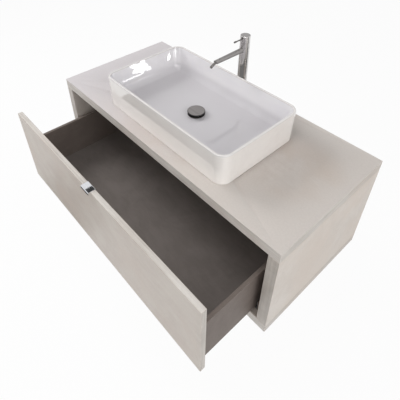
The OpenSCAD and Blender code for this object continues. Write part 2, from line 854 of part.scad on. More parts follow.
// Bell crank: a finger arm towards the middle and a prong that locks into the drawer rail
module release_lever(side)
    color(grey_plastic) moved(1) on_side(side)
        translate([pivot_x, pivot_y, floor_z + trigger_top - trigger_t]) difference() {
            union() {
                cylinder(r = trigger_hub_r, h = trigger_t);
                block([-trigger_l, -trigger_w / 2, 0], [0, trigger_w / 2, trigger_t]);
                translate([-trigger_l, 0, 0]) cylinder(r = trigger_w / 2, h = trigger_t);
                block([-trigger_w / 2, 0, 0], [trigger_w / 2, trigger_back + prong_w / 2, trigger_t]);
                block([0, trigger_back - prong_w / 2, trigger_t / 2],
                    [clip_x - pivot_x + clip_gap + sheet_t, trigger_back + prong_w / 2, trigger_t]);
                block([clip_x - pivot_x, trigger_back - prong_w / 2, trigger_t / 2],
                    [clip_x - pivot_x + clip_gap + sheet_t, trigger_back + prong_w / 2,
                        trigger_t + prong_w]);
            }
            post(pivot_r + pivot_gap, -over, trigger_t + over);
        }

// Drawer

module drawer_front()
    color(front_plaster) moved(1) difference() {
        block([-front_x, shut_front_y, front_low], [front_x, box_front_y, front_top]);
        at_front_dowels() front_dowel_shift() dowel_hole(box_dowel_r, box_dowel_l);
        at_pull_screws() screw_hole(short_screw_l);
    }

module drawer_side(side)
    color(taupe) moved(1) difference() {
        on_side(side) difference() {
            block([side_in_x, box_front_y, side_low], [side_x, box_back_y, side_top]);
            block([side_in_x - over, box_front_y - over, tray_low],
                [side_in_x + groove_d, box_back_y + over, tray_top]);
        }
        at_front_dowels() front_dowel_shift() dowel_hole(box_dowel_r, box_dowel_l);
        at_back_dowels() back_dowel_shift() dowel_hole(box_dowel_r, box_dowel_l);
    }

module drawer_back()
    color(taupe) moved(1) difference() {
        block([-side_in_x, box_back_y - back_t, tray_low], [side_in_x, box_back_y, side_top]);
        block([-side_in_x - over, box_back_y - back_t - over, tray_low - over],
            [side_in_x + over, box_back_y - back_t + groove_d, tray_top]);
        at_back_dowels() back_dowel_shift() dowel_hole(box_dowel_r, box_dowel_l);
        both_sides() translate([channel_x, box_back_y + over, rear_pin_z]) rotate([90, 0, 0])
            cylinder(r = rear_pin_r + screw_gap, h = rear_pin_l + 2 * over);
    }

module drawer_floor()
    color(taupe) moved(1) difference() {
        block([-side_in_x - groove_d, box_front_y, tray_low],
            [side_in_x + groove_d, box_back_y - back_t + groove_d, tray_top]);
        both_sides() at_clip_screws() screw_hole(clip_h + floor_t / 2);
    }

module drawer_dowels()
    color(beech) moved(1) {
        at_front_dowels() front_dowel_shift() dowel(box_dowel_r, box_dowel_l);
        at_back_dowels() back_dowel_shift() dowel(box_dowel_r, box_dowel_l);
    }

// Folded strip: a lip in front, a plate over the front's top edge and a flange behind it
module pull_profile() {
    lip_y = shut_front_y - pull_overhang;
    flange_y = box_front_y + pull_t;
    plate_z = front_top + pull_t;
    difference() {
        union() {
            translate([lip_y, plate_z - pull_lip_h]) square([pull_t, pull_lip_h - pull_bend_r]);
            translate([lip_y + pull_bend_r, front_top])
                square([flange_y - lip_y - 2 * pull_bend_r, pull_t]);
            translate([box_front_y, front_top - pull_flange_h])
                square([pull_t, pull_flange_h + pull_t - pull_bend_r]);
            for (y = [lip_y + pull_bend_r, flange_y - pull_bend_r])
                translate([y, plate_z - pull_bend_r]) circle(r = pull_bend_r);
        }
        translate([lip_y + pull_t, front_top - pull_flange_h - over])
            square([flange_y - lip_y - 2 * pull_t, pull_flange_h + over]);
    }
}

module drawer_pull()
    color(chrome) moved(1) difference() {
        translate([-pull_w / 2, 0, 0]) rotate([90, 0, 90]) linear_extrude(pull_w) pull_profile();
        at_pull_screws() screw_hole(pull_t + over);
    }

module drawer_screws()
    color(zinc) moved(1) {
        at_pull_screws() screw(short_screw_l);
        both_sides() at_clip_screws() screw(clip_h + floor_t / 2 - screw_gap);
    }

// Basin

// Rounded rectangle, centred
module rounded(w, d, r) {
    square([w - 2 * r, d], center = true);
    square([w, d - 2 * r], center = true);
    for (x = [-1, 1], y = [-1, 1])
        translate([x * (w / 2 - r), y * (d / 2 - r)]) circle(r = r);
}

// Thin slice of the basin's plan, drawn in from the rim by an inset
module basin_slice(z, inset)
    translate([0, 0, z]) linear_extrude(slice_t)
        rounded(basin_w - 2 * inset, basin_d - 2 * inset, basin_corner_r - inset, $fn = hull_fn);

module basin_outside()
    hull() {
        basin_slice(0, basin_draft);
        for (a = spread(round_steps, 0, 90))
            basin_slice(basin_h - slice_t - rim_r * (1 - sin(a)), rim_r * (1 - cos(a)));
    }

module basin_hollow() {
    hull() {
        basin_slice(basin_h, rim_t);
        for (a = spread(round_steps + 2, 0, 90))
            basin_slice(basin_floor_z + cove_r * (1 - cos(a)), rim_t + inner_draft + cove_r * (1 - sin(a)));
    }
    hull() {
        basin_slice(basin_h - rim_ease, rim_t);
        basin_slice(basin_h, rim_t - rim_ease);
    }
}

module basin()
    color(glaze) translate([0, basin_y, top_z]) difference() {
        basin_outside();
        basin_hollow();
        translate([0, 0, -over]) linear_extrude(foot_recess + over)
            rounded(basin_w - 2 * foot_w, basin_d - 2 * foot_w, basin_corner_r);
        post(waste_r + drain_gap, 0, basin_floor_z + over);
    }

module basin_sealant()
    color(white_plastic) translate([0, basin_y, top_z]) linear_extrude(bead_t) difference() {
        rounded(basin_w - 2 * foot_w, basin_d - 2 * foot_w, basin_corner_r);
        rounded(basin_w - 2 * (foot_w + bead_t), basin_d - 2 * (foot_w + bead_t), basin_corner_r - bead_t);
    }

// Waste

module at_drain()
    translate([0, basin_y, top_z]) children();

module waste_body()
    color(chrome) at_drain() {
        rotate_extrude() polygon([
            [waste_bore_r, -waste_tail_l], [waste_r, -waste_tail_l],
            [waste_r, relief_top - relief_w], [waste_r - relief_d, relief_top - relief_w],
            [waste_r - relief_d, relief_top], [waste_r, relief_top], [waste_r, gasket_top],
            [waste_flange_r - waste_flange_t / 2, gasket_top],
            [waste_flange_r, gasket_top + waste_flange_t / 2],
            [waste_flange_r - waste_flange_t / 2, flange_top],
            [waste_bore_r + waste_wall / 2, flange_top],
            [waste_bore_r, flange_top - waste_wall / 2]
        ]);
        difference() {
            union() {
                post(spindle_r + hub_wall, -hub_t, 0);
                for (i = [0:spokes - 1]) rotate([0, 0, i * 360 / spokes])
                    block([0, -spoke_t / 2, -hub_t], [waste_bore_r + waste_wall / 2, spoke_t / 2, 0]);
            }
            post(spindle_r + thread_gap, -hub_t - over, over);
        }
    }

module waste_gasket()
    color(rubber) at_drain()
        ring(waste_flange_r - waste_flange_t, waste_r + thread_gap, basin_floor_z, gasket_top);

module waste_core()
    color(brass) at_drain() difference() {
        union() {
            post(spindle_r, core_low, 0);
            post(core_r, 0, basin_floor_z);
        }
        post(cap_stem_r + thread_gap, core_low + hub_t / 2, basin_floor_z + over);
    }

module waste_washer()
    color(rubber) at_drain()
        ring(waste_nut_r, waste_r + thread_gap, waste_nut_top, -panel_t);

// Round back nut with finger lugs
module waste_nut()
    color(white_plastic) at_drain() {
        low = waste_nut_top - waste_nut_h;
        difference() {
            union() {
                post(waste_nut_r - waste_wall, low, waste_nut_top);
                for (i = [0:2 * spokes - 1]) rotate([0, 0, i * 180 / spokes])
                    block([waste_r + waste_wall, -spoke_t / 2, low],
                        [waste_nut_r, spoke_t / 2, waste_nut_top]);
            }
            post(waste_r + thread_gap, low - over, waste_nut_top + over);
        }
    }

module waste_cap()
    color(steel) at_drain() {
        ease = waste_cap_t / 4;
        stem_end = core_low + hub_t / 2 + waste_travel + over;
        rotate_extrude() polygon([
            [0, stem_end], [cap_stem_r, stem_end],
            [cap_stem_r, cap_under], [waste_cap_r - ease, cap_under], [waste_cap_r, cap_under + ease],
            [waste_cap_r, waste_cap_top - 2 * ease], [waste_cap_r - ease, waste_cap_top - ease],
            [waste_cap_r / 2, waste_cap_top], [0, waste_cap_top]
        ]);
    }

module waste_cap_seal()
    color(rubber) at_drain()
        ring(waste_flange_r - waste_flange_t, waste_r, cap_under - cap_seal_t, cap_under);

// Tap

module at_tap()
    translate([0, tap_y, top_z]) children();

// Places along the spout: -Z of the child points forward
module at_spout()
    translate([0, 0, spout_z]) rotate([-90, 0, 0]) children();

module at_nozzle()
    translate([0, -spout_reach, spout_z]) rotate([-90 + nozzle_tilt, 0, 0]) children();

module tap_body()
    color(steel) at_tap() difference() {
        union() {
            post(tap_r, 0, column_h);
            post(neck_r, 0, neck_top);
        }
        post(bore_r, cartridge_z, neck_top + over);
        post(shank_r, -over, socket_d);
        for (side = [-1, 1]) translate([side * inlet_off, 0, 0]) {
            post(inlet_r, 0, socket_d + inlet_d);
            post(waterway_r, 0, cartridge_z + over);
        }
        translate([0, 0, -over]) ring(tap_r - seal_wall, shank_r + seal_wall, 0, seal_t + over);
        at_spout() post(spout_root_r + thread_gap, -tap_r - over, 0);
    }

module tap_base_seal()
    color(rubber) at_tap()
        ring(tap_r - seal_wall - thread_gap, shank_r + seal_wall + thread_gap, 0, seal_t);

// Tapered tube with a root let into the column and a mitred end
module tap_spout()
    color(steel) at_tap() difference() {
        union() {
            difference() {
                at_spout() translate([0, 0, -spout_reach - spout_r])
                    cylinder(r1 = spout_end_r, r2 = spout_r, h = spout_reach + spout_r);
                post(tap_r + thread_gap, spout_z - 2 * spout_r, spout_z + 2 * spout_r);
                translate([-tap_r, 0, spout_z - tap_r]) cube(2 * tap_r);
            }
            at_spout() post(spout_root_r, -tap_r - spout_root_in, -tap_r + spout_root_in);
        }
        at_spout() post(spout_bore_r, -spout_reach + 2 * spout_end_r, 0);
        at_nozzle() post(nozzle_root_r + thread_gap, -over, 2 * spout_end_r + spout_bore_r);
        at_nozzle() block([-tap_r, -tap_r, -2 * tap_r], [tap_r, tap_r, 0]);
    }

module outlet_nozzle()
    color(steel) at_tap() at_nozzle() difference() {
        union() {
            post(nozzle_r, -nozzle_l, 0);
            post(nozzle_root_r, -over, nozzle_root_l);
        }
        post(nozzle_r - nozzle_wall, -nozzle_l - over, nozzle_root_l + over);
    }

module tap_cartridge()
    color(white_plastic) at_tap() difference() {
        union() {
            post(cartridge_r, cartridge_z, cartridge_top);
            post(collar_r, cartridge_z, cartridge_z + collar_h);
            post(collar_r, cartridge_top - collar_h, cartridge_top);
        }
        post(stem_r + thread_gap, cartridge_top - stem_bore_l, cartridge_top + over);
    }

module cartridge_nut()
    color(brass) at_tap()
        ring(collar_r, stem_r + 2 * ball_r, cartridge_top, ring_nut_top);

// Stem with a slot for the lever's ball, open to the front
module cartridge_stem()
    color(steel) at_tap() difference() {
        union() {
            post(stem_r, stem_low, stem_top);
            post(stem_head_r, stem_top - stem_head_h, stem_top);
        }
        block([-ball_r - ball_gap, -stem_head_r - over, lever_z - ball_r - ball_gap],
            [ball_r + ball_gap, ball_r + ball_gap, lever_z + ball_r + ball_gap]);
        block([-ball_r - ball_gap, -stem_head_r - over, lever_z],
            [ball_r + ball_gap, -ball_r, stem_top - lever_gap * 2]);
    }

module tap_shank()
    color(brass) at_tap()
        ring(shank_r, shank_r - shank_wall, -shank_l, socket_d);

module tap_washer()
    color(rubber) at_tap()
        ring(tap_washer_r, shank_r + thread_gap, -panel_t - tap_washer_t, -panel_t);

module tap_nut()
    color(brass) at_tap() {
        high = -panel_t - tap_washer_t;
        difference() {
            translate([0, 0, high - tap_nut_h]) cylinder(r = tap_nut_r, h = tap_nut_h, $fn = 6);
            post(shank_r + thread_gap, high - tap_nut_h - over, high + over);
        }
    }

// Turning cap with an upright slot for the lever
module tap_cap()
    color(steel) at_tap() {
        low = column_h + cap_gap;
        ease = cap_top_t / 4;
        slot_r = lever_r + lever_gap;
        difference() {
            rotate_extrude() polygon([
                [0, low], [tap_r, low], [tap_r, tap_h - ease], [tap_r - ease, tap_h], [0, tap_h]
            ]);
            post(cap_in_r, low - over, cap_ceiling);
            for (z = [lever_slot_low + slot_r, lever_slot_top - slot_r])
                translate([0, 0, z]) rotate([90, 0, 0]) post(slot_r, 0, tap_r + over);
            block([-slot_r, -tap_r - over, lever_slot_low + slot_r], [slot_r, 0, lever_slot_top - slot_r]);
        }
    }

// Block inside the cap that holds the lever's pin
module lever_carrier()
    color(brass) at_tap() difference() {
        post(neck_r, neck_top + carrier_gap, cap_ceiling);
        post(stem_head_r + ball_gap, neck_top, cap_ceiling + over);
        block([-hub_w / 2 - ball_gap, -tap_r, lever_z - 2 * hub_r - ball_gap],
            [hub_w / 2 + ball_gap, 0, cap_ceiling + over]);
        at_lever_pin() cylinder(r = lever_pin_r + pin_fit, h = 2 * tap_r, center = true);
    }

module at_lever_pin()
    translate([0, -lever_ahead, lever_z]) rotate([0, 90, 0]) children();

module lever_pin()
    color(steel) at_tap() at_lever_pin() cylinder(r = lever_pin_r, h = lever_pin_l, center = true);

// Pin lever with its hub on the pivot and a ball that works the stem
module tap_lever()
    color(steel) at_tap() difference() {
        union() {
            at_lever_pin() cylinder(r = hub_r, h = hub_w, center = true);
            translate([0, 0, lever_z]) rotate([90, 0, 0]) {
                post(lever_r, lever_ahead, lever_reach - lever_tip_l);
                post(lever_tip_r, lever_reach - lever_tip_l, lever_reach - lever_tip_r);
                translate([0, 0, lever_reach - lever_tip_r]) sphere(r = lever_tip_r);
                post(ball_r / 1.5, 0, lever_ahead);
                sphere(r = ball_r);
            }
        }
        at_lever_pin() cylinder(r = lever_pin_r + pivot_gap, h = 2 * hub_w, center = true);
    }

top_panel();
bottom_panel();
side_panel(-1);  // side_panel_left
side_panel(1);  // side_panel_right
rear_rail_upper();
rear_rail_lower();
carcass_dowels();
hanger(-1);  // hanger_left
hanger(1);  // hanger_right
hanger_hooks();
hanger_screws();
wall_plates();
runner_packer(-1);  // runner_packer_left
runner_packer(1);  // runner_packer_right
cabinet_rail(-1);  // cabinet_rail_left
cabinet_rail(1);  // cabinet_rail_right
rail_screw_set();
middle_slide(-1);  // middle_slide_left
middle_slide(1);  // middle_slide_right
lower_rollers();
upper_rollers();
drawer_rail(-1);  // drawer_rail_left
drawer_rail(1);  // drawer_rail_right
front_clip(-1);  // front_clip_left
front_clip(1);  // front_clip_right
release_lever(-1);  // release_lever_left
release_lever(1);  // release_lever_right
drawer_front();
drawer_side(-1);  // drawer_side_left
drawer_side(1);  // drawer_side_right
drawer_back();
drawer_floor();
drawer_dowels();
drawer_pull();
drawer_screws();
basin();
basin_sealant();
waste_body();
waste_gasket();
waste_core();
waste_washer();
waste_nut();
waste_cap();
waste_cap_seal();
tap_body();
tap_spout();
outlet_nozzle();
tap_cartridge();
cartridge_nut();
cartridge_stem();
tap_base_seal();
tap_shank();
tap_washer();
tap_nut();
tap_cap();
lever_carrier();
lever_pin();
tap_lever();
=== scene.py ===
"""Looks of a wall-hung vanity unit: plaster-look carcass, inset drawer, vessel basin and tall tap.

Every piece is in metres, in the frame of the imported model: +X to the right seen from the front,
+Z up, the wall at Y = 0 and the front towards -Y.
"""
import json
import logging
import math
from dataclasses import dataclass, field
from enum import Enum
from functools import cache
from typing import Callable, Iterable, Sequence

import bmesh
import bpy
from mathutils import Matrix, Quaternion, Vector


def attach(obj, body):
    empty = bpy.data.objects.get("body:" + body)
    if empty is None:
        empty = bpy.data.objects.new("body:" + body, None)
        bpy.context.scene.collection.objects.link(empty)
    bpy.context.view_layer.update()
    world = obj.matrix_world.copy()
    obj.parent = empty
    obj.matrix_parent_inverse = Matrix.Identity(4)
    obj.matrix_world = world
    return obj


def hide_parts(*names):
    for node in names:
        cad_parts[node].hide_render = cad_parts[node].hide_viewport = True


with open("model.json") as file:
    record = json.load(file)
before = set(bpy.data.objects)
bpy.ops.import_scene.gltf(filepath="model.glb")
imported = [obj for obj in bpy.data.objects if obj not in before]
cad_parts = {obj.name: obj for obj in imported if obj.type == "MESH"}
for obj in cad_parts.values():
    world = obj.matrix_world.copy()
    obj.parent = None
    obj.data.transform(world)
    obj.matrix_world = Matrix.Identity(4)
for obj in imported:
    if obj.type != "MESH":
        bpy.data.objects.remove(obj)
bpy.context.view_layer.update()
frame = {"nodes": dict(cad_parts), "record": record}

LOG = logging.getLogger("vanity")
Colour = tuple[float, float, float]
Point = tuple[float, float, float]
Pair = tuple[float, float]
Profile = list[Pair]
Socket = bpy.types.NodeSocket
Object = bpy.types.Object
SMOOTH_ANGLE = math.radians(32)
WHITE = (1.0, 1.0, 1.0, 1.0)
REFLECTION_ONLY = ("camera", "diffuse", "transmission", "volume_scatter")


def tone(*display: int) -> Colour:
    """Gives the linear colour of three display values from 0 to 255."""
    shares = (value / 255 for value in display)
    return tuple(share / 12.92 if share <= 0.04045 else ((share + 0.055) / 1.055) ** 2.4 for share in shares)


def four_channels(value: object) -> object:
    """Gives a colour of three channels an opaque fourth, and leaves any other value or socket."""
    return (*value, 1.0) if isinstance(value, tuple) and len(value) == 3 else value


# Shader nodes


class Web:
    """Adds nodes to one node tree and joins them."""

    def __init__(self, tree: bpy.types.NodeTree) -> None:
        """Keeps the tree that the nodes go into."""
        self.tree = tree

    def add(
        self, kind: str, inputs: dict[str | int, object] | None = None, **settings: object
    ) -> bpy.types.Node:
        """Adds a node.

        Args:
            kind: The node's type name.
            inputs: A socket to link or a value to set, by input name or number.
            settings: The node's own properties.

        Returns:
            The new node.
        """
        node = self.tree.nodes.new(kind)
        for key, value in settings.items():
            setattr(node, key, value)
        for key, value in (inputs or {}).items():
            if isinstance(value, Socket):
                self.tree.links.new(value, node.inputs[key])
            else:
                node.inputs[key].default_value = value
        return node

    def math(self, operation: str, first: object, second: object = 0.0) -> Socket:
        """Gives the result of a sum on two values or sockets."""
        return self.add("ShaderNodeMath", {0: first, 1: second}, operation=operation).outputs[0]

    def spot(self, value: Socket, low: float, high: float) -> Socket:
        """Gives a mask that rises smoothly from 0 at low to 1 at high."""
        inputs = {"Value": value, "From Min": low, "From Max": high}
        return self.add("ShaderNodeMapRange", inputs, interpolation_type="SMOOTHSTEP").outputs[0]

    def between(self, mask: Socket, low: object, high: object) -> Socket:
        """Gives a value that runs from low to high with a mask."""
        return self.add("ShaderNodeMapRange", {"Value": mask, "To Min": low, "To Max": high}).outputs[0]

    def blend(self, share: float, first: Socket, second: Socket) -> Socket:
        """Gives the sum of a share of one value and the rest of another."""
        rest = round(1 - share, 6)
        return self.math("ADD", self.math("MULTIPLY", first, share), self.math("MULTIPLY", second, rest))

    def shaded(self, colour: Socket, shade: Colour, mask: Socket, share: float) -> Socket:
        """Gives a colour darkened by a shade, by a share of a mask."""
        return self.mix(self.math("MULTIPLY", mask, share), colour, shade, "MULTIPLY")

    def glow(self, strength: float) -> Socket:
        """Gives a surface that shines white."""
        return self.add("ShaderNodeEmission", {"Color": WHITE, "Strength": strength}).outputs[0]

    def height(self, coordinates: Socket) -> Socket:
        """Gives the upward part of coordinates or of a normal."""
        return self.add("ShaderNodeSeparateXYZ", {0: coordinates}).outputs[2]

    def seen(self) -> Socket:
        """Tells the rays that look at a surface from those that light it.

        Returns:
            1 for the camera's rays, a reflection's and those through a clear material, else 0.
        """
        path = self.add("ShaderNodeLightPath").outputs
        mirrored = self.math("MAXIMUM", path["Is Glossy Ray"], path["Is Transmission Ray"])
        return self.math("MAXIMUM", path["Is Camera Ray"], mirrored)

    def mix(self, mask: object, first: object, second: object, mode: str = "MIX") -> Socket:
        """Gives the mix of two colours by a mask."""
        inputs = {0: mask, 6: four_channels(first), 7: four_channels(second)}
        return self.add("ShaderNodeMix", inputs, data_type="RGBA", blend_type=mode).outputs[2]

    def noise(
        self, coordinates: Socket, scale: object, detail: float, rough: float = 0.55, warp: float = 0.0
    ) -> Socket:
        """Gives a noise field's value.

        Args:
            coordinates: Where the field is read.
            scale: Patches to the metre, as a value or socket.
            detail: Number of finer layers.
            rough: Strength of the finer layers.
            warp: Distortion.

        Returns:
            The value's socket.
        """
        inputs = {"Vector": coordinates, "Scale": scale, "Detail": detail}
        inputs |= {"Roughness": rough, "Distortion": warp}
        return self.add("ShaderNodeTexNoise", inputs).outputs["Fac"]

    def moved(
        self, coordinates: Socket, shift: Point = (0, 0, 0), scale: Point = (1, 1, 1), turn: Point = (0, 0, 0)
    ) -> Socket:
        """Gives coordinates that are shifted, turned and stretched."""
        inputs = {"Vector": coordinates, "Location": shift, "Rotation": turn, "Scale": scale}
        return self.add("ShaderNodeMapping", inputs).outputs[0]


class Effect(Enum):
    """Surface effects that materials share: the group's name, and its setting's name and kind."""

    CLOUDS = ("cloudy_plaster", "Patches", "NodeSocketFloat")
    STREAKS = ("drawn_streaks", "Stretch", "NodeSocketVector")
    PEBBLE = ("pressed_pebble", "Grains", "NodeSocketFloat")
    SMUDGES = ("hand_smudges", "Patches", "NodeSocketFloat")


@cache
def effect_group(effect: Effect) -> bpy.types.NodeTree:
    """Builds a shared effect's node group once.

    Args:
        effect: Which effect.

    Returns:
        The node group.
    """
    name, setting, kind = effect.value
    tree = bpy.data.node_groups.new(name, "ShaderNodeTree")
    tree.interface.new_socket(name="Coordinates", in_out="INPUT", socket_type="NodeSocketVector")
    tree.interface.new_socket(name=setting, in_out="INPUT", socket_type=kind)
    web = Web(tree)
    given = web.add("NodeGroupInput").outputs
    where, value = given["Coordinates"], given[setting]
    if effect is Effect.CLOUDS:
        broad = web.noise(where, value, detail=4.0, rough=0.58, warp=0.7)
        apart = web.moved(where, shift=(3.1, 7.7, 1.3))
        tint = web.noise(apart, web.math("MULTIPLY", value, 0.8), detail=3.0, rough=0.5, warp=0.4)
        slanted = web.moved(where, scale=(1.0, 3.4, 3.4), turn=(0.5, 0.35, 0.65))
        strokes = web.noise(slanted, web.math("MULTIPLY", value, 2.1), detail=5.0, rough=0.62, warp=0.3)
        fine = web.noise(where, 700.0, detail=2.0, rough=0.6)
        cloud = web.blend(0.68, broad, strokes)
        results = {"Cloud": cloud, "Tint": tint, "Height": web.blend(0.7, strokes, fine)}
    elif effect is Effect.STREAKS:
        stretched = web.add("ShaderNodeVectorMath", {0: where, 1: value}, operation="MULTIPLY").outputs[0]
        fine = web.noise(stretched, 1.0, detail=6.0, rough=0.7)
        broad = web.noise(stretched, 0.22, detail=2.0, rough=0.5)
        results = {"Mask": web.blend(0.6, fine, broad), "Height": fine}
    elif effect is Effect.PEBBLE:
        cells = web.add("ShaderNodeTexVoronoi", {"Vector": where, "Scale": value}, feature="SMOOTH_F1")
        soft = web.noise(where, web.math("MULTIPLY", value, 0.4), detail=2.0)
        height = web.math("ADD", cells.outputs["Distance"], web.math("MULTIPLY", soft, 0.5))
        results = {"Mask": soft, "Height": height}
    else:
        wide = web.noise(where, value, detail=3.0, rough=0.6, warp=1.2)
        slanted = web.moved(where, scale=(1.0, 5.0, 2.0), turn=(0.3, 0.9, 0.2))
        wiped = web.noise(slanted, value, detail=4.0)
        results = {"Mask": web.math("MULTIPLY", web.spot(wide, 0.4, 0.7), web.spot(wiped, 0.3, 0.75))}
    for name in results:
        tree.interface.new_socket(name=name, in_out="OUTPUT", socket_type="NodeSocketFloat")
    web.add("NodeGroupOutput", results)
    return tree


class Skin:
    """One material: its principled shader, object coordinates and the effects placed in it."""

    def __init__(self, name: str) -> None:
        """Starts a material with an empty principled shader.

        Args:
            name: The finish's name.
        """
        self.material = bpy.data.materials.new(f"{name}_finish")
        self.material.use_nodes = True
        self.web = Web(self.material.node_tree)
        self.shader = self.material.node_tree.nodes["Principled BSDF"]
        self.where = self.web.add("ShaderNodeTexCoord").outputs["Object"]

    def effect(self, effect: Effect, setting: float | Point) -> bpy.types.NodeOutputs:
        """Places a shared effect with its setting, read at the object's own coordinates."""
        inputs = {0: self.where, 1: setting}
        return self.web.add("ShaderNodeGroup", inputs, node_tree=effect_group(effect)).outputs

    def bump(self, height: Socket, depth: float) -> None:
        """Raises the surface, over any bump that it has already.

        Args:
            height: The height field.
            depth: The field's depth in metres.
        """
        normal = self.shader.inputs["Normal"]
        inputs = {"Height": height, "Distance": depth, "Strength": 1.0}
        if normal.is_linked:
            inputs["Normal"] = normal.links[0].from_socket
        self.web.tree.links.new(self.web.add("ShaderNodeBump", inputs).outputs[0], normal)

    def set(self, **values: object) -> None:
        """Sets or links the shader's inputs.

        Args:
            values: A value or socket for each input, named with underscores for spaces.
        """
        for name, value in values.items():
            socket = self.shader.inputs[name.replace("_", " ")]
            if isinstance(value, Socket):
                self.web.tree.links.new(value, socket)
            else:
                socket.default_value = four_channels(value)


# Finishes

# A reach is the pair of values between which one tone turns into the other. Depths and heights are in
# metres, patches, grains and waves are numbers to the metre, and shares are strengths from 0 to 1.


class Along(Enum):
    """Direction in which a surface was drawn, brushed or sawn, as noise stretch to the metre."""

    X = (9.0, 620.0, 620.0)
    Y = (620.0, 9.0, 620.0)
    Z = (620.0, 620.0, 9.0)
    ROUND_Z = (14.0, 14.0, 2600.0)


@dataclass(frozen=True)
class PlasterLaminate:
    """Plaster-look laminate with soft clouds, warm and cool patches, faint trowel strokes and, on the top,
    painted light.
    """

    name: str
    ground: Colour
    pale: Colour
    warm: Colour
    patches: float = 5.5
    streaks: Along | None = None
    # Tone of a painted sheen: the cool surroundings as a glossy top would mirror them at a grazing view.
    cool: Colour | None = None
    cloud_reach: Pair = (0.36, 0.64)
    tint_reach: Pair = (0.42, 0.66)
    warm_share: float = 0.7
    # Painted light on the top: where the sheen leans and reaches, and the basin's painted shadow, warm at a
    # spot and paler round it.
    cool_lean: float = 0.6
    cool_reach: Pair = (0.60, -0.30)
    warm_spot: Pair = (0.38, -0.22)
    spot_reach: Pair = (0.004, 0.030)
    right_reach: Pair = (0.05, 0.30)
    pale_share: float = 0.9
    grains: float = 420.0
    pebble_share: float = 0.16
    pebble_shade: Colour = (0.30, 0.27, 0.25)
    streak_reach: Pair = (0.42, 0.62)
    streak_share: float = 0.55
    streak_shade: Colour = (0.62, 0.60, 0.58)
    streak_depth: float = 0.00010
    cloud_depth: float = 0.00025
    roughness: Pair = (0.34, 0.56)

    def material(self) -> bpy.types.Material:
        """Builds the material.

        Returns:
            The material.
        """
        skin = Skin(self.name)
        web = skin.web
        clouds = skin.effect(Effect.CLOUDS, self.patches)
        colour = web.mix(web.spot(clouds["Cloud"], *self.cloud_reach), self.ground, self.pale)
        warmth = web.math("MULTIPLY", web.spot(clouds["Tint"], *self.tint_reach), self.warm_share)
        colour = web.mix(warmth, colour, self.warm)
        # Painted light: a cool sheen at the left and the basin's shadow at the right.
        if self.cool:
            colour = self.drifted(skin, colour)
        pebble = skin.effect(Effect.PEBBLE, self.grains)
        colour = web.shaded(colour, self.pebble_shade, pebble["Mask"], self.pebble_share)
        if self.streaks:
            drawn = skin.effect(Effect.STREAKS, self.streaks.value)
            mask = web.spot(drawn["Mask"], *self.streak_reach)
            colour = web.shaded(colour, self.streak_shade, mask, self.streak_share)
            skin.bump(drawn["Height"], self.streak_depth)
        skin.bump(clouds["Height"], self.cloud_depth)
        rough = web.between(clouds["Cloud"], *self.roughness)
        skin.set(Base_Color=colour, Roughness=rough, Specular_IOR_Level=0.5)
        return skin.material

    def drifted(self, skin: Skin, colour: Socket) -> Socket:
        """Paints a cool sheen at the left, and at the right the basin's shadow as a warm spot with paler
        light round it.

        Args:
            skin: The material's skin.
            colour: The decor's colour so far.

        Returns:
            The colour with the painted sheen and shadow.
        """
        web = skin.web
        x, y = web.add("ShaderNodeSeparateXYZ", {0: skin.where}).outputs[:2]
        along = web.math("SUBTRACT", x, web.math("MULTIPLY", y, self.cool_lean))
        # Painted sheen at the left.
        colour = web.mix(web.spot(along, *self.cool_reach), colour, self.cool)
        # Painted shadow of the basin at the right: the decor stays warm at the spot and turns pale round it.
        across, deep = (web.math("SUBTRACT", part, place) for part, place in zip((x, y), self.warm_spot))
        squared = web.math("ADD", web.math("MULTIPLY", across, across), web.math("MULTIPLY", deep, deep))
        at_right = web.spot(x, *self.right_reach)
        ring = web.math("MULTIPLY", web.spot(squared, *self.spot_reach), at_right)
        return web.mix(web.math("MULTIPLY", ring, self.pale_share), colour, self.pale)


@dataclass(frozen=True)
class Melamine:
    """Plain melamine with a pressed pebble and a little unevenness."""

    name: str
    ground: Colour
    pale: Colour
    roughness: Pair = (0.44, 0.6)
    shine: float = 0.16
    patches: float = 9.0
    cloud_reach: Pair = (0.35, 0.65)
    grains: float = 900.0
    pebble_share: float = 0.25
    pebble_shade: Colour = (0.4, 0.38, 0.36)
    depth: float = 0.00008

    def material(self) -> bpy.types.Material:
        """Builds the material.

        Returns:
            The material.
        """
        skin = Skin(self.name)
        web = skin.web
        clouds = skin.effect(Effect.CLOUDS, self.patches)
        pebble = skin.effect(Effect.PEBBLE, self.grains)
        colour = web.mix(web.spot(clouds["Cloud"], *self.cloud_reach), self.ground, self.pale)
        colour = web.shaded(colour, self.pebble_shade, pebble["Mask"], self.pebble_share)
        skin.bump(pebble["Height"], self.depth)
        rough = web.between(pebble["Mask"], *self.roughness)
        skin.set(Base_Color=colour, Roughness=rough, Specular_IOR_Level=self.shine)
        return skin.material


@dataclass(frozen=True)
class Timber:
    """Plain close-grained timber."""

    name: str
    ground: Colour
    dark: Colour
    lines: Along = Along.Y
    grain_reach: Pair = (0.35, 0.7)
    grains: float = 500.0
    pore_share: float = 0.2
    pore_shade: Colour = (0.5, 0.4, 0.3)
    depth: float = 0.00012
    roughness: Pair = (0.5, 0.75)

    def material(self) -> bpy.types.Material:
        """Builds the material.

        Returns:
            The material.
        """
        skin = Skin(self.name)
        web = skin.web
        drawn = skin.effect(Effect.STREAKS, self.lines.value)
        pebble = skin.effect(Effect.PEBBLE, self.grains)
        colour = web.mix(web.spot(drawn["Mask"], *self.grain_reach), self.ground, self.dark)
        colour = web.shaded(colour, self.pore_shade, pebble["Mask"], self.pore_share)
        skin.bump(drawn["Height"], self.depth)
        skin.set(Base_Color=colour, Roughness=web.between(drawn["Mask"], *self.roughness))
        return skin.material


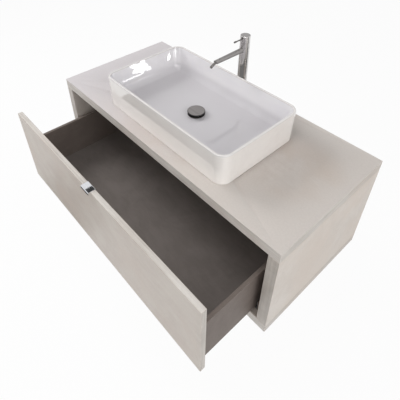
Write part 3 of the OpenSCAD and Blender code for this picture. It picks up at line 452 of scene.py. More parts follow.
@dataclass(frozen=True)
class Metal:
    """Metal with drawn or turned lines and a hand's smudges."""

    name: str
    ground: Colour
    dark: Colour
    roughness: Pair
    lines: Along = Along.ROUND_Z
    depth: float = 0.00002
    anisotropy: float = 0.0
    turned_end: Colour | None = None
    line_reach: Pair = (0.38, 0.66)
    end_reach: Pair = (0.80, 0.95)
    line_share: float = 0.6
    patches: float = 38.0

    def material(self) -> bpy.types.Material:
        """Builds the material.

        Returns:
            The material, whose faces that look up can have a painted dark reflection.
        """
        skin = Skin(self.name)
        web = skin.web
        drawn = skin.effect(Effect.STREAKS, self.lines.value)
        smudges = skin.effect(Effect.SMUDGES, self.patches)
        colour = web.mix(web.spot(drawn["Mask"], *self.line_reach), self.ground, self.dark)
        # Painted reflection: faces that look up are darkened, as though they mirrored something dark above.
        if self.turned_end:
            upward = web.height(web.add("ShaderNodeTexCoord").outputs["Normal"])
            colour = web.mix(web.spot(upward, *self.end_reach), colour, self.turned_end)
        mask = web.blend(self.line_share, drawn["Mask"], smudges["Mask"])
        skin.bump(drawn["Height"], self.depth)
        rough = web.between(mask, *self.roughness)
        skin.set(Base_Color=colour, Metallic=1.0, Roughness=rough, Anisotropic=self.anisotropy)
        return skin.material


@dataclass(frozen=True)
class Glaze:
    """White gloss glaze, slightly wavy, with faint unevenness of the white."""

    name: str
    ground: Colour
    shade: Colour
    # Painted shade on the bowl's floor, and the heights over which it and the thinner coat come in.
    pool: Colour | None = None
    pool_heights: Pair = (0.150, 0.104)
    coat_heights: Pair = (0.125, 0.106)
    coat_weights: Pair = (1.0, 0.2)
    # Painted shade on the rim's top, and the heights over which it comes in.
    rim: Colour = tone(225, 221, 219)
    rim_heights: Pair = (0.1935, 0.1965)
    patches: float = 8.0
    cloud_reach: Pair = (0.35, 0.68)
    smudge_patches: float = 14.0
    roughness: Pair = (0.07, 0.13)
    waves: float = 26.0
    wave_depth: float = 0.00035

    def material(self) -> bpy.types.Material:
        """Builds the material.

        Returns:
            The material, with a painted shade on the rim's top and, in the bowl, a painted shade on the floor
            under a thinner coat.
        """
        skin = Skin(self.name)
        web = skin.web
        clouds = skin.effect(Effect.CLOUDS, self.patches)
        smudges = skin.effect(Effect.SMUDGES, self.smudge_patches)
        colour = web.mix(web.spot(clouds["Cloud"], *self.cloud_reach), self.ground, self.shade)
        height = web.height(skin.where)
        # Painted shade on the rim's top.
        colour = web.mix(web.spot(height, *self.rim_heights), colour, self.rim)
        coat = self.coat_weights[0]
        # In the bowl: painted shade on the floor, and a thinner coat there.
        if self.pool:
            colour = web.mix(web.spot(height, *self.pool_heights), colour, self.pool)
            coat = web.between(web.spot(height, *self.coat_heights), *self.coat_weights)
        skin.bump(web.noise(skin.where, self.waves, detail=1.5, rough=0.4), self.wave_depth)
        rough = web.between(smudges["Mask"], *self.roughness)
        skin.set(Base_Color=colour, Roughness=rough, IOR=1.52, Coat_Weight=coat, Coat_Roughness=0.015)
        return skin.material


@dataclass(frozen=True)
class Moulded:
    """Moulded plastic or rubber with a fine spark-eroded pebble."""

    name: str
    ground: Colour
    pale: Colour
    roughness: Pair = (0.45, 0.6)
    grains: float = 1400.0
    depth: float = 0.00006
    pebble_reach: Pair = (0.35, 0.65)
    patches: float = 30.0

    def material(self) -> bpy.types.Material:
        """Builds the material.

        Returns:
            The material.
        """
        skin = Skin(self.name)
        web = skin.web
        pebble = skin.effect(Effect.PEBBLE, self.grains)
        smudges = skin.effect(Effect.SMUDGES, self.patches)
        skin.bump(pebble["Height"], self.depth)
        colour = web.mix(web.spot(pebble["Mask"], *self.pebble_reach), self.ground, self.pale)
        skin.set(Base_Color=colour, Roughness=web.between(smudges["Mask"], *self.roughness))
        return skin.material


class Finish(Enum):
    """Every finish of the unit: each of the record's slots by its name, and variants for single pieces."""

    BOARD = PlasterLaminate("plaster_board", tone(208, 198, 188), tone(220, 212, 204), tone(213, 200, 188))
    # The top: a copy of the decor with painted light, a cool sheen at the left and the basin's shadow at the
    # right.
    TOP = PlasterLaminate(
        "plaster_top_painted_light", tone(203, 194, 187), tone(214, 207, 201), tone(207, 194, 183), cool=tone(216, 211, 213)
    )
    BAND_X = PlasterLaminate(
        "plaster_band_across", tone(213, 207, 200), tone(229, 224, 218), tone(220, 211, 203), streaks=Along.X
    )
    BAND_Y = PlasterLaminate(
        "plaster_band_deep", tone(196, 189, 181), tone(213, 208, 201), tone(206, 194, 183), streaks=Along.Y
    )
    BAND_Z = PlasterLaminate(
        "plaster_band_upright", tone(192, 185, 177), tone(212, 206, 199), tone(201, 190, 180), streaks=Along.Z
    )
    FRONT_BOARD = PlasterLaminate(
        "plaster_front", tone(200, 189, 180), tone(211, 203, 194), tone(206, 193, 183)
    )
    DRAWER_BOARD = Melamine("taupe_melamine", tone(118, 108, 102), tone(127, 117, 111))
    # A lighter, more neutral copy of the melamine that paints the sheen and light on the drawer's floor.
    DRAWER_FLOOR = Melamine("taupe_melamine_floor_painted_sheen", tone(122, 115, 111), tone(132, 125, 121))
    # Beech darkened as painted shade, so that the packers in the gap beside the drawer read as shadow.
    BEECH = Timber("beech_darkened_for_shade", tone(92, 80, 71), tone(72, 61, 53))
    ZINC_STEEL = Metal("zinc_plate", tone(186, 188, 191), tone(150, 153, 158), (0.26, 0.46), Along.Y)
    CHROME = Metal(
        "polished_chrome", tone(222, 223, 226), tone(214, 215, 219), (0.05, 0.12), Along.X, depth=0.000002
    )
    BRASS = Metal("turned_brass", tone(214, 178, 110), tone(186, 148, 84), (0.24, 0.42))
    BRUSHED_STEEL = Metal(
        "brushed_steel", tone(222, 220, 218), tone(188, 185, 183), (0.16, 0.26), anisotropy=0.5,
        turned_end=tone(150, 147, 146),
    )
    # Darker copies of the brushed steel, painted with shade, for the spout, the nozzle and the lever.
    STEEL_SPOUT = Metal(
        "brushed_steel_spout_shaded", tone(150, 147, 146), tone(128, 125, 124), (0.42, 0.55), Along.Y
    )
    STEEL_SHADE = Metal("brushed_steel_painted_shade", tone(112, 109, 107), tone(90, 87, 85), (0.35, 0.48), Along.Y)
    SATIN_CAP = Metal("satin_cap", tone(142, 138, 137), tone(129, 125, 124), (0.3, 0.4), Along.X)
    # The flange darkened as painted shade, and the cap's side and underside near black: partly a dark moulded
    # underside, partly painted shade.
    SATIN_DARK = Metal("satin_flange_painted_shade", tone(78, 75, 74), tone(66, 63, 62), (0.3, 0.42))
    CAP_UNDER = Moulded("cap_underside_and_shade", tone(46, 43, 43), tone(54, 51, 51), (0.4, 0.55))
    # Lit and shaded copies of the glaze: the outside is painted lighter and warmer than the bowl.
    GLAZE = Glaze("white_glaze", tone(247, 243, 239), tone(242, 237, 233))
    GLAZE_BOWL = Glaze("white_glaze_bowl_shaded", tone(241, 239, 240), tone(236, 234, 237), pool=tone(206, 203, 206))
    SEALANT = Moulded("clear_silicone", tone(214, 213, 210), tone(224, 223, 221), (0.3, 0.45))
    RUBBER = Moulded("black_rubber", tone(30, 30, 32), tone(44, 44, 46), (0.6, 0.75), 700.0, 0.0001)
    WHITE_PLASTIC = Moulded("white_nylon", tone(214, 214, 210), tone(226, 226, 223))
    GREY_PLASTIC = Moulded("grey_nylon", tone(118, 121, 126), tone(134, 137, 142))


@cache
def material(finish: Finish) -> bpy.types.Material:
    """Gives a finish's material, built at its first use."""
    return finish.value.material()


def dress_node(node: str, finish: Finish) -> None:
    """Gives a CAD node a finish.

    Args:
        node: The node's name.
        finish: Its finish.
    """
    slots = frame["nodes"][node].data.materials
    slots.clear()
    slots.append(material(finish))


# Meshes


def weigh_normals(mesh: bpy.types.Mesh) -> None:
    """Gives each corner the mean normal of the faces that meet there smoothly.

    Args:
        mesh: The mesh, whose larger faces count for more, so that flat faces stay flat.
    """
    bm = bmesh.new()
    bm.from_mesh(mesh)
    limit = math.cos(SMOOTH_ANGLE)
    weighed = {face.index: face.normal * face.calc_area() for face in bm.faces}
    normals = []
    for face in bm.faces:
        for loop in face.loops:
            near = [weighed[f.index] for f in loop.vert.link_faces if f.normal.dot(face.normal) > limit]
            normals.append(sum(near, Vector()).normalized() if near else face.normal.copy())
    bm.free()
    mesh.normals_split_custom_set(normals)


def finished_object(name: str, bm: bmesh.types.BMesh, finishes: Sequence[Finish]) -> Object:
    """Turns a bmesh into a scene object with its finishes.

    Args:
        name: The piece's name.
        bm: The mesh, which is freed.
        finishes: The finish of each material number.

    Returns:
        The object.
    """
    bmesh.ops.recalc_face_normals(bm, faces=bm.faces)
    mesh = bpy.data.meshes.new(name)
    bm.to_mesh(mesh)
    bm.free()
    mesh.polygons.foreach_set("use_smooth", [True] * len(mesh.polygons))
    mesh.set_sharp_from_angle(angle=SMOOTH_ANGLE)
    weigh_normals(mesh)
    for finish in finishes:
        mesh.materials.append(material(finish))
    piece = bpy.data.objects.new(name, mesh)
    bpy.context.scene.collection.objects.link(piece)
    return piece


def board(
    name: str, low: Sequence[float], high: Sequence[float], faces: dict[str, Finish], ease: float
) -> Object:
    """Makes a board with eased edges.

    Args:
        name: The piece's name.
        low: Lowest corner.
        high: Highest corner.
        faces: The finish of the faces that look along each axis, by the axes' letters. An eased edge
            takes the finish that comes first.
        ease: Radius of the eased edges.

    Returns:
        The board.
    """
    bm = bmesh.new()
    bmesh.ops.create_cube(bm, size=1.0)
    size = Vector(high) - Vector(low)
    middle = (Vector(high) + Vector(low)) / 2
    for vertex in bm.verts:
        vertex.co = Vector(a * b for a, b in zip(vertex.co, size)) + middle
    bm.normal_update()
    for face in bm.faces:
        letter = "xyz"[max(range(3), key=lambda axis: abs(face.normal[axis]))]
        face.material_index = next(number for number, letters in enumerate(faces) if letter in letters)
    bmesh.ops.bevel(bm, geom=list(bm.edges), offset=ease, segments=3, profile=0.5, affect="EDGES")
    return finished_object(name, bm, list(faces.values()))


def looped(
    name: str, loops: list[list[Vector]], finishes: Sequence[Finish], second: range, ring: bool = False
) -> Object:
    """Joins loops of equally many points into a closed skin.

    Args:
        name: The piece's name.
        loops: The loops, each closed.
        finishes: The piece's finishes.
        second: Numbers of the loops from which a strip with the second finish starts.
        ring: Whether the last loop joins the first. Both are closed with a face if not.

    Returns:
        The piece.
    """
    bm = bmesh.new()
    rows = [[bm.verts.new(point) for point in loop] for loop in loops]
    count = len(loops[0])
    pairs = list(zip(rows, rows[1:])) + ([(rows[-1], rows[0])] if ring else [])
    for row, (near, far) in enumerate(pairs):
        for i in range(count):
            j = (i + 1) % count
            bm.faces.new((near[i], near[j], far[j], far[i])).material_index = int(row in second)
    if not ring:
        bm.faces.new(rows[0])
        bm.faces.new(rows[-1])
    return finished_object(name, bm, finishes)


def turned(
    name: str, profile: Profile, centre: Vector, finishes: Sequence[Finish], steps: int,
    second: range = range(0),
) -> Object:
    """Turns a profile of radii and heights about an upright axis.

    Args:
        name: The piece's name.
        profile: Radius and height of each loop.
        centre: Where the axis starts.
        finishes: The piece's finishes.
        steps: Points round the axis.
        second: Numbers of the profile's points from which a strip with the second finish starts.

    Returns:
        The piece.
    """
    angles = [2 * math.pi * i / steps for i in range(steps)]
    loops = [[centre + Vector((r * math.cos(a), r * math.sin(a), z)) for a in angles] for r, z in profile]
    return looped(name, loops, finishes, second)


def arc(centre: Pair, radius: float, start: float, end: float, steps: int) -> Profile:
    """Gives points along an arc, its angles in degrees."""
    angles = [math.radians(start + (end - start) * i / steps) for i in range(steps + 1)]
    return [(centre[0] + radius * math.cos(a), centre[1] + radius * math.sin(a)) for a in angles]


# Sub-assemblies


@dataclass
class SubAssembly:
    """A group of pieces that are built and dressed together."""

    made: list[Object] = field(default_factory=list, init=False)

    def keep(self, piece: Object, body: str, slot: str, *nodes: str) -> None:
        """Rides a new piece on its body and hides the CAD nodes that it stands for.

        Args:
            piece: The new piece.
            body: The body that it moves with.
            slot: The record's material slot, which is not used.
            nodes: The CAD nodes that it replaces.
        """
        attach(piece, body)
        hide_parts(*nodes)
        self.made.append(piece)

    def report(self) -> None:
        """Logs each piece."""
        for piece in self.made:
            LOG.info("%s: %s, %d faces", type(self).__name__, piece.name, len(piece.data.polygons))


@dataclass
class Carcass(SubAssembly):
    """Four thick boards: the top and bottom run full width, the sides stand between them."""

    half_width: float = 0.550
    depth: float = 0.500
    top: float = 0.084
    base: float = -0.316
    thickness: float = 0.036
    waste_hole: float = 0.025
    tap_hole: float = 0.0175
    waste_y: float = -0.281
    tap_y: float = -0.050
    top_ease: float = 0.0014
    base_ease: float = 0.0012
    side_ease: float = 0.0009

    def build(self) -> None:
        """Builds the boards."""
        bands = {"y": Finish.BAND_X, "x": Finish.BAND_Y}
        x, y = self.half_width, self.depth
        under, floor = self.top - self.thickness, self.base + self.thickness
        top = board("top_board", (-x, -y, under), (x, 0, self.top), {"z": Finish.TOP, **bands}, self.top_ease)
        for radius, hole_y in ((self.waste_hole, self.waste_y), (self.tap_hole, self.tap_y)):
            self.bore(top, radius, hole_y)
        self.keep(top, "cabinet", "board", "top_panel")
        faces = {"z": Finish.BOARD, **bands}
        base = board("base_board", (-x, -y, self.base), (x, 0, floor), faces, self.base_ease)
        self.keep(base, "cabinet", "board", "bottom_panel")
        faces = {"xz": Finish.BOARD, "y": Finish.BAND_Z}
        for side, name in ((-1, "left"), (1, "right")):
            inner, outer = sorted((side * x, side * (x - self.thickness)))
            piece = board(f"side_board_{name}", (inner, -y, floor), (outer, 0, under), faces, self.side_ease)
            self.keep(piece, "cabinet", "board", f"side_panel_{name}")

    def bore(self, piece: Object, radius: float, hole_y: float) -> None:
        """Cuts an upright hole through a board.

        Args:
            piece: The board.
            radius: The hole's radius.
            hole_y: The hole's place along the depth, on the middle line.
        """
        profile = [(radius, self.top - 2 * self.thickness), (radius, self.top + self.thickness)]
        cutter = turned("cutter", profile, Vector((0, hole_y, 0)), (Finish.BOARD,), steps=64)
        cut = piece.modifiers.new("cut", "BOOLEAN")
        cut.operation, cut.solver, cut.object = "DIFFERENCE", "EXACT", cutter
        ready = piece.evaluated_get(bpy.context.evaluated_depsgraph_get())
        result = bpy.data.meshes.new_from_object(ready)
        piece.modifiers.clear()
        piece.data = result
        bpy.data.objects.remove(cutter)


@dataclass
class DrawerBox(SubAssembly):
    """Drawer front, sides, back and floor, standing part open."""

    open: float = 0.230
    front_y: float = -0.500
    front_thickness: float = 0.018
    half_front: float = 0.511
    front_low: float = -0.277
    front_top: float = 0.045
    side_x: float = 0.492
    side_thickness: float = 0.012
    side_low: float = -0.268
    side_top: float = -0.078
    length: float = 0.400
    back_thickness: float = 0.012
    floor_low: float = -0.246
    floor_top: float = -0.236
    groove: float = 0.006
    front_ease: float = 0.0011
    box_ease: float = 0.0008
    floor_ease: float = 0.0003

    def build(self) -> None:
        """Builds the five boards."""
        front_y = self.front_y - self.open
        box_y = front_y + self.front_thickness
        back_y = box_y + self.length
        inner_x, inner_y = self.side_x - self.side_thickness, back_y - self.back_thickness
        faces = {"y": Finish.FRONT_BOARD, "z": Finish.BAND_X, "x": Finish.BAND_Z}
        low, high = (-self.half_front, front_y, self.front_low), (self.half_front, box_y, self.front_top)
        front = board("front_board", low, high, faces, self.front_ease)
        self.keep(front, "drawer", "front_board", "drawer_front")
        faces = {"xyz": Finish.DRAWER_BOARD}
        for side, name in ((-1, "left"), (1, "right")):
            low_x, high_x = sorted((side * inner_x, side * self.side_x))
            low, high = (low_x, box_y, self.side_low), (high_x, back_y, self.side_top)
            piece = board(f"box_side_{name}", low, high, faces, self.box_ease)
            self.keep(piece, "drawer", "drawer_board", f"drawer_side_{name}")
        low, high = (-inner_x, inner_y, self.floor_low), (inner_x, back_y, self.side_top)
        back = board("box_back", low, high, faces, self.box_ease)
        self.keep(back, "drawer", "drawer_board", "drawer_back")
        edge_x, edge_y = inner_x + self.groove, inner_y + self.groove
        low, high = (-edge_x, box_y, self.floor_low), (edge_x, edge_y, self.floor_top)
        # The floor takes the lighter copy of the melamine, with painted sheen.
        floor = board("box_floor", low, high, {"xyz": Finish.DRAWER_FLOOR}, self.floor_ease)
        self.keep(floor, "drawer", "drawer_board", "drawer_floor")


@dataclass
class DrawerPull(SubAssembly):
    """Bent chrome strip over the front's top edge."""

    half_width: float = 0.022
    thickness: float = 0.002
    lip_y: float = -0.738
    flange_y: float = -0.710
    top: float = 0.047
    lip_height: float = 0.010
    flange_height: float = 0.022
    bend: float = 0.0025
    ease: float = 0.0003
    least_angle: float = math.radians(40)

    def build(self) -> None:
        """Builds the strip from its cross-section, with its sharp edges eased."""
        wall, bend, top = self.thickness, self.bend, self.top
        outside = [(self.lip_y, top - self.lip_height)]
        outside += arc((self.lip_y + bend, top - bend), bend, 180, 90, 8)
        outside += arc((self.flange_y - bend, top - bend), bend, 90, 0, 8)
        outside += [(self.flange_y, top - wall - self.flange_height)]
        inside = [(self.flange_y - wall, top - wall - self.flange_height)]
        inside += [(self.flange_y - wall, top - wall), (self.lip_y + wall, top - wall)]
        inside += [(self.lip_y + wall, top - self.lip_height)]
        bm = bmesh.new()
        section = bm.faces.new([bm.verts.new((-self.half_width, y, z)) for y, z in outside + inside])
        grown = bmesh.ops.extrude_face_region(bm, geom=[section])
        for item in grown["geom"]:
            if isinstance(item, bmesh.types.BMVert):
                item.co.x = self.half_width
        bm.normal_update()
        sharp = [e for e in bm.edges if e.is_manifold and e.calc_face_angle(0.0) > self.least_angle]
        settings = {"segments": 2, "profile": 0.5, "affect": "EDGES", "clamp_overlap": True}
        bmesh.ops.bevel(bm, geom=sharp, offset=self.ease, **settings)
        piece = finished_object("edge_pull", bm, (Finish.CHROME,))
        self.keep(piece, "drawer", "chrome", "drawer_pull")


@dataclass
class Basin(SubAssembly):
    """Vessel basin with a thin rim, a cove round its floor and a slight fall to the drain."""

    half_width: float = 0.300
    half_depth: float = 0.175
    height: float = 0.115
    centre_y: float = -0.281
    base_z: float = 0.084
    corner: float = 0.039
    draft: float = 0.002
    rim: float = 0.008
    outer_ease: float = 0.003
    inner_ease: float = 0.0015
    inner_draft: float = 0.006
    cove: float = 0.026
    floor: float = 0.018
    fall: float = 0.0025
    fall_pace: float = 1.05
    recess: float = 0.008
    foot: float = 0.028
    drain: float = 0.02245
    foot_ease: float = 0.0015
    least_corner: float = 0.012
    corner_steps: int = 14
    side_steps: int = 12
    rim_strips_in_bowl: int = 2
    wall_shares: tuple[float, ...] = (0.25, 0.5, 0.75)
    floor_shares: tuple[float, ...] = (0.08, 0.2, 0.35, 0.5, 0.65, 0.8, 0.92, 1.0)

    def outline(self, inset: float, z: float) -> list[Vector]:
        """Gives a rounded rectangle drawn in from the rim by an inset.

        Args:
            inset: Distance in from the rim's outside.
            z: Height above the top board.

        Returns:
            The loop's points.
        """
        x, y = self.half_width - inset, self.half_depth - inset
        radius = max(self.corner - inset, self.least_corner)
        points: Profile = []
        for sx, sy, start in ((1, 1, 0), (-1, 1, 90), (-1, -1, 180), (1, -1, 270)):
            centre = (sx * (x - radius), sy * (y - radius))
            points += arc(centre, radius, start, start + 90, self.corner_steps)
        whole: Profile = []
        for i, point in enumerate(points):
            following = points[(i + 1) % len(points)]
            whole.append(point)
            if i % (self.corner_steps + 1) == self.corner_steps:
                for k in range(1, self.side_steps):
                    share = k / self.side_steps
                    whole.append(tuple(a + (b - a) * share for a, b in zip(point, following)))
        return [Vector((px, self.centre_y + py, self.base_z + z)) for px, py in whole]

    def towards_drain(self, share: float, z: float) -> list[Vector]:
        """Gives a floor loop part of the way from the cove to the drain.

        Args:
            share: 0 at the cove, 1 at the drain.
            z: Height above the top board.

        Returns:
            The loop's points.
        """
        points = []
        for point in self.outline(self.rim + self.inner_draft + self.cove, z):
            angle = math.atan2(point.y - self.centre_y, point.x)
            x, y = self.drain * math.cos(angle), self.centre_y + self.drain * math.sin(angle)
            points.append(point.lerp(Vector((x, y, point.z)), share))
        return points

    def build(self) -> None:
        """Builds the basin as one closed skin."""
        top, ease = self.height, self.inner_ease
        loops = [self.outline(self.draft + self.foot_ease, 0), self.outline(self.draft, self.foot_ease)]
        loops += [self.outline(self.draft * (1 - share), top * share) for share in self.wall_shares]
        outer = arc((self.outer_ease, top - self.outer_ease), self.outer_ease, 180, 90, 6)
        inner = arc((self.rim - ease, top - ease), ease, 90, 0, 4)
        loops += [self.outline(inset, z) for inset, z in outer + inner]
        bowl_start = len(loops) - 1 - self.rim_strips_in_bowl
        cove_top = self.floor + self.fall + self.cove
        for share in self.wall_shares:
            z = top - ease + (cove_top - top + ease) * share
            loops.append(self.outline(self.rim + self.inner_draft * share, z))
        centre = (self.rim + self.inner_draft + self.cove, cove_top)
        loops += [self.outline(inset, z) for inset, z in arc(centre, self.cove, 180, 270, 12)]
        for share in self.floor_shares:
            wave = math.cos(math.pi * min(share * self.fall_pace, 1.0))
            height = self.floor + self.fall * (0.5 + 0.5 * wave)
            loops.append(self.towards_drain(share, height))
        loops.append(self.towards_drain(1.0, self.recess))
        under = [self.outline(self.foot, self.recess), self.outline(self.foot, 0)]
        bowl = range(bowl_start, len(loops) - 1)
        # The outside takes the glaze painted lighter, the bowl the copy painted darker.
        finishes = (Finish.GLAZE, Finish.GLAZE_BOWL)
        piece = looped("vessel_basin", loops + under, finishes, second=bowl, ring=True)
        self.keep(piece, "cabinet", "glaze", "basin")


@dataclass
class Waste(SubAssembly):
    """Press cap with a slightly domed top; its side and underside are dark, partly painted shade, over a
    flange darkened as painted shade.
    """

    centre: Vector = field(default_factory=lambda: Vector((0, -0.281, 0.084)))
    radius: float = 0.0315
    under: float = 0.030
    thickness: float = 0.003
    edge: float = 0.0006
    shoulder: float = 0.0024
    stem: float = 0.0035
    stem_end: float = -0.0045
    dome_shares: tuple[float, ...] = (0.85, 0.7, 0.55, 0.4, 0.25, 0.1, 0.01)

    def build(self) -> None:
        """Builds the cap with its stem."""
        top = self.under + self.thickness
        profile = [(self.stem, self.stem_end), (self.stem, self.under)]
        profile += arc((self.radius - self.edge, self.under + self.edge), self.edge, -90, 0, 4)
        profile += arc((self.radius - self.shoulder, top - self.shoulder), self.shoulder, 10, 80, 6)
        # The cap's side and underside: partly a dark moulded underside, partly painted shade for the gap
        # beneath.
        dark = range(len(profile) - 1)
        profile += [(self.radius * share, top - self.edge * share ** 2) for share in self.dome_shares]
        finishes = (Finish.SATIN_CAP, Finish.CAP_UNDER)
        piece = turned("press_cap", profile, self.centre, finishes, steps=96, second=dark)
        self.keep(piece, "waste_cap", "satin_cap", "waste_cap")
        # The flange is darkened as painted shade.
        dress_node("waste_body", Finish.SATIN_DARK)


@dataclass
class Tap(SubAssembly):
    """Tall tap, whose spout, nozzle and lever wear darker copies of the brushed steel, as painted shade."""

    def build(self) -> None:
        """Dresses the three nodes."""
        dress_node("tap_spout", Finish.STEEL_SPOUT)
        dress_node("outlet_nozzle", Finish.STEEL_SHADE)
        dress_node("tap_lever", Finish.STEEL_SHADE)


# Studio


def placed(
    name: str, data: bpy.types.ID, place: Point, turn: Quaternion, unseen: Iterable[str] = ()
) -> Object:
    """Puts an object into the studio.

    Args:
        name: The object's name.
        data: Its lamp or mesh.
        place: Where it is.
        turn: How it is turned.
        unseen: The kinds of ray that don't see it.

    Returns:
        The object.
    """
    item = bpy.data.objects.new(name, data)
    item.rotation_mode = "QUATERNION"
    item.location, item.rotation_quaternion = place, turn
    for kind in unseen:
        setattr(item, f"visible_{kind}", False)
    bpy.context.scene.collection.objects.link(item)
    return item


def towards(place: Point, target: Point) -> Quaternion:
    """Gives the turn that points an object's underside from a place at a target."""
    return (Vector(place) - Vector(target)).to_track_quat("Z", "Y")


def sheet(name: str, size: Pair, surface: Callable[[Web], Socket]) -> bpy.types.Mesh:
    """Makes a flat oblong with a material of its own.

    Args:
        name: The name of the mesh and of its material.
        size: Its width and height.
        surface: Gives the material's surface in its nodes.

    Returns:
        The mesh.
    """
    bm = bmesh.new()
    x, y = size[0] / 2, size[1] / 2
    bm.faces.new([bm.verts.new(corner) for corner in ((-x, -y, 0), (x, -y, 0), (x, y, 0), (-x, y, 0))])
    mesh = bpy.data.meshes.new(name)
    bm.to_mesh(mesh)
    bm.free()
    paint = bpy.data.materials.new(name)
    paint.use_nodes = True
    paint.node_tree.nodes.clear()
    web = Web(paint.node_tree)
    web.add("ShaderNodeOutputMaterial", {"Surface": surface(web)})
    mesh.materials.append(paint)
    return mesh


@dataclass(frozen=True)
class Lamp:
    """A soft square lamp aimed at the unit."""

    name: str
    place: Point
    size: float
    watts: float
    target: Point = (0.0, -0.3, 0.0)
    unseen: tuple[str, ...] = ()

    def build(self) -> None:
        """Adds the lamp."""
        data = bpy.data.lights.new(self.name, "AREA")
        data.energy, data.size = self.watts, self.size
        placed(self.name, data, self.place, towards(self.place, self.target), self.unseen)


@dataclass(frozen=True)
class Glint:
    """A small oval lamp that only reflections show."""

    name: str
    place: Point
    size: Pair
    turn: float
    aim: Point = (-0.730, -0.591, 0.342)
    radiance: float = 10.5
    half_spread: float = math.radians(20)

    def build(self) -> None:
        """Adds the lamp, its power worked out from its area, radiance and spread."""
        data = bpy.data.lights.new(self.name, "AREA")
        data.shape = "ELLIPSE"
        data.size, data.size_y = self.size
        data.spread = 2 * self.half_spread
        narrowing = 1 - self.half_spread / math.tan(self.half_spread)
        data.energy = self.radiance * narrowing * math.pi * math.pi / 4 * data.size * data.size_y
        rolled = Quaternion((0, 0, 1), math.radians(self.turn))
        turn = (-Vector(self.aim)).to_track_quat("Z", "Y") @ rolled
        placed(self.name, data, self.place, turn, REFLECTION_ONLY)


@dataclass(frozen=True)
class Card:
    """A card that only reflections show, bright or dark: faces its target, or lies flat without one."""

    name: str
    place: Point
    target: Point | None
    size: Pair
    strength: float

    def build(self) -> None:
        """Adds the card."""
        mesh = sheet(self.name, self.size, lambda web: web.glow(self.strength))
        turn = towards(self.place, self.target) if self.target else Quaternion()
        card = placed(self.name, mesh, self.place, turn, (*REFLECTION_ONLY, "shadow"))


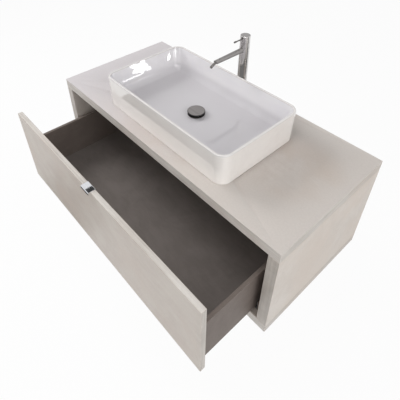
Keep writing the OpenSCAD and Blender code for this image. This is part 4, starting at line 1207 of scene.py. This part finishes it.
@dataclass
class Studio:
    """Camera, lamps, white surroundings and pale floor."""

    camera_place: Point = (0.8332, -1.04205, 0.9481)
    azimuth: float = 48.888
    elevation: float = 37.630
    roll: float = -0.595
    lens: float = 36.034
    sensor: float = 36.0
    shift: Pair = (0.0273, -0.2022)
    clips: Pair = (0.05, 50.0)
    floor_z: float = -0.80
    floor_size: Pair = (12.0, 12.0)
    floor_tone: Colour = (0.9, 0.9, 0.9)
    floor_glow: float = 0.94
    horizon: float = 0.80
    zenith: float = 0.22

    def camera(self) -> None:
        """Places the camera at the photograph's viewpoint."""
        data = bpy.data.cameras.new("photo_view")
        data.sensor_width, data.lens = self.sensor, self.lens
        data.shift_x, data.shift_y = self.shift
        data.clip_start, data.clip_end = self.clips
        camera = bpy.data.objects.new("photo_view", data)
        turn = (
            Matrix.Rotation(math.radians(self.azimuth), 4, "Z")
            @ Matrix.Rotation(math.radians(90 - self.elevation), 4, "X")
            @ Matrix.Rotation(math.radians(self.roll), 4, "Z")
        )
        camera.matrix_world = Matrix.Translation(self.camera_place) @ turn
        bpy.context.scene.collection.objects.link(camera)
        bpy.context.scene.camera = camera

    def world(self) -> None:
        """Makes the surroundings: plain white when seen or reflected, as light softer overhead."""
        world = bpy.data.worlds.new("white_surround")
        world.use_nodes = True
        bpy.context.scene.world = world
        web = Web(world.node_tree)
        world.node_tree.nodes.clear()
        upwards = web.add("ShaderNodeTexCoord").outputs["Generated"]
        height = web.math("MAXIMUM", web.height(upwards), 0.0)
        strength = web.between(web.seen(), web.between(height, self.horizon, self.zenith), 1.0)
        shine = web.add("ShaderNodeBackground", {"Color": WHITE, "Strength": strength})
        web.add("ShaderNodeOutputWorld", {"Surface": shine.outputs[0]})

    def floor_surface(self, web: Web) -> Socket:
        """Gives the floor's surface.

        Args:
            web: The nodes of the floor's material.

        Returns:
            The surface, nearly plain white where it is seen or reflected.
        """
        matt = web.add("ShaderNodeBsdfDiffuse", {"Color": four_channels(self.floor_tone)}).outputs[0]
        share = web.math("MULTIPLY", web.seen(), self.floor_glow)
        return web.add("ShaderNodeMixShader", {0: share, 1: matt, 2: web.glow(1.0)}).outputs[0]

    def floor(self) -> None:
        """Lays the pale floor, which keeps the object's shadow."""
        mesh = sheet("pale_floor", self.floor_size, self.floor_surface)
        floor = placed("pale_floor", mesh, (0, 0, self.floor_z), Quaternion())

    def lights(self) -> None:
        """Hangs the lamps, and the cards that give the glaze its lights and the metal its darks."""
        corner = (-0.28, -0.20, 0.15)
        for light in (
            Lamp("left_lamp", (-2.6, -1.0, 1.9), size=1.3, watts=46.0, unseen=("glossy",)),
            Lamp("front_lamp", (0.6, -3.0, 1.5), size=1.8, watts=10.0),
            Lamp("right_lamp", (2.7, -0.6, 1.5), size=1.6, watts=24.5),
            Lamp("overhead_lamp", (0.2, -1.0, 2.5), size=0.8, watts=8.0, target=(0.1, -0.6, -0.2)),
            Glint("glint_wide", (-0.184, -0.243, 0.127), (0.094, 0.026), turn=-14.0),
            Glint("glint_tall", (-0.1895, -0.236, 0.1315), (0.080, 0.024), turn=77.0),
            Glint("glint_low", (-0.185, -0.246, 0.1215), (0.076, 0.022), turn=23.0),
            Glint(
                "glint_tail", (-0.208, -0.300, 0.108), (0.110, 0.006), turn=0.0,
                aim=(-0.643, 0.0, 0.766), radiance=9.0, half_spread=1.2,
            ),
            Glint(
                "glint_flame", (-0.2325, -0.123, 0.144), (0.011, 0.044), turn=-28.0,
                aim=(-0.763, -0.539, 0.355),
            ),
            Glint(
                "glint_streak", (-0.120, -0.168, 0.122), (0.040, 0.028), turn=0.0,
                aim=(-0.943, 0.118, 0.309),
            ),
            Glint(
                "glint_edge", (-0.255, -0.242, 0.146), (0.010, 0.035), turn=0.0,
                aim=(-0.151, 0.937, 0.314), radiance=8.0,
            ),
            Card("right_bar", (2.28, -0.60, 0.88), corner, (0.20, 0.26), strength=60.0),
            Card("dark_right", (1.75, 0.85, -0.78), None, (1.0, 0.9), strength=0.10),
            Card("dark_left", (-0.74, -1.02, -0.78), None, (0.5, 0.5), strength=0.05),
            Card("dark_foot", (0.10, -0.1040, 0.142), (0.10, -0.05, 0.142), (0.24, 0.112), strength=0.22),
            Card("dark_above", (-0.060, -0.688, 0.133), None, (0.033, 0.08), strength=0.06),
        ):
            light.build()

    def build(self) -> None:
        """Builds the whole studio."""
        bpy.context.scene.view_settings.view_transform = "Standard"
        self.camera()
        self.world()
        self.floor()
        self.lights()


def main() -> None:
    """Builds the studio, gives every CAD node its slot's finish and builds the sub-assemblies."""
    logging.basicConfig(level=logging.INFO, format="%(message)s")
    Studio().build()
    for row in frame["record"]["subparts"]:
        dress_node(row["node"], Finish[row["material_slot"].upper()])
        LOG.info("node %s: %s", row["node"], row["material_slot"])
    for assembly in (Carcass(), DrawerBox(), DrawerPull(), Basin(), Waste(), Tap()):
        assembly.build()
        assembly.report()


if __name__ == "__main__":
    main()
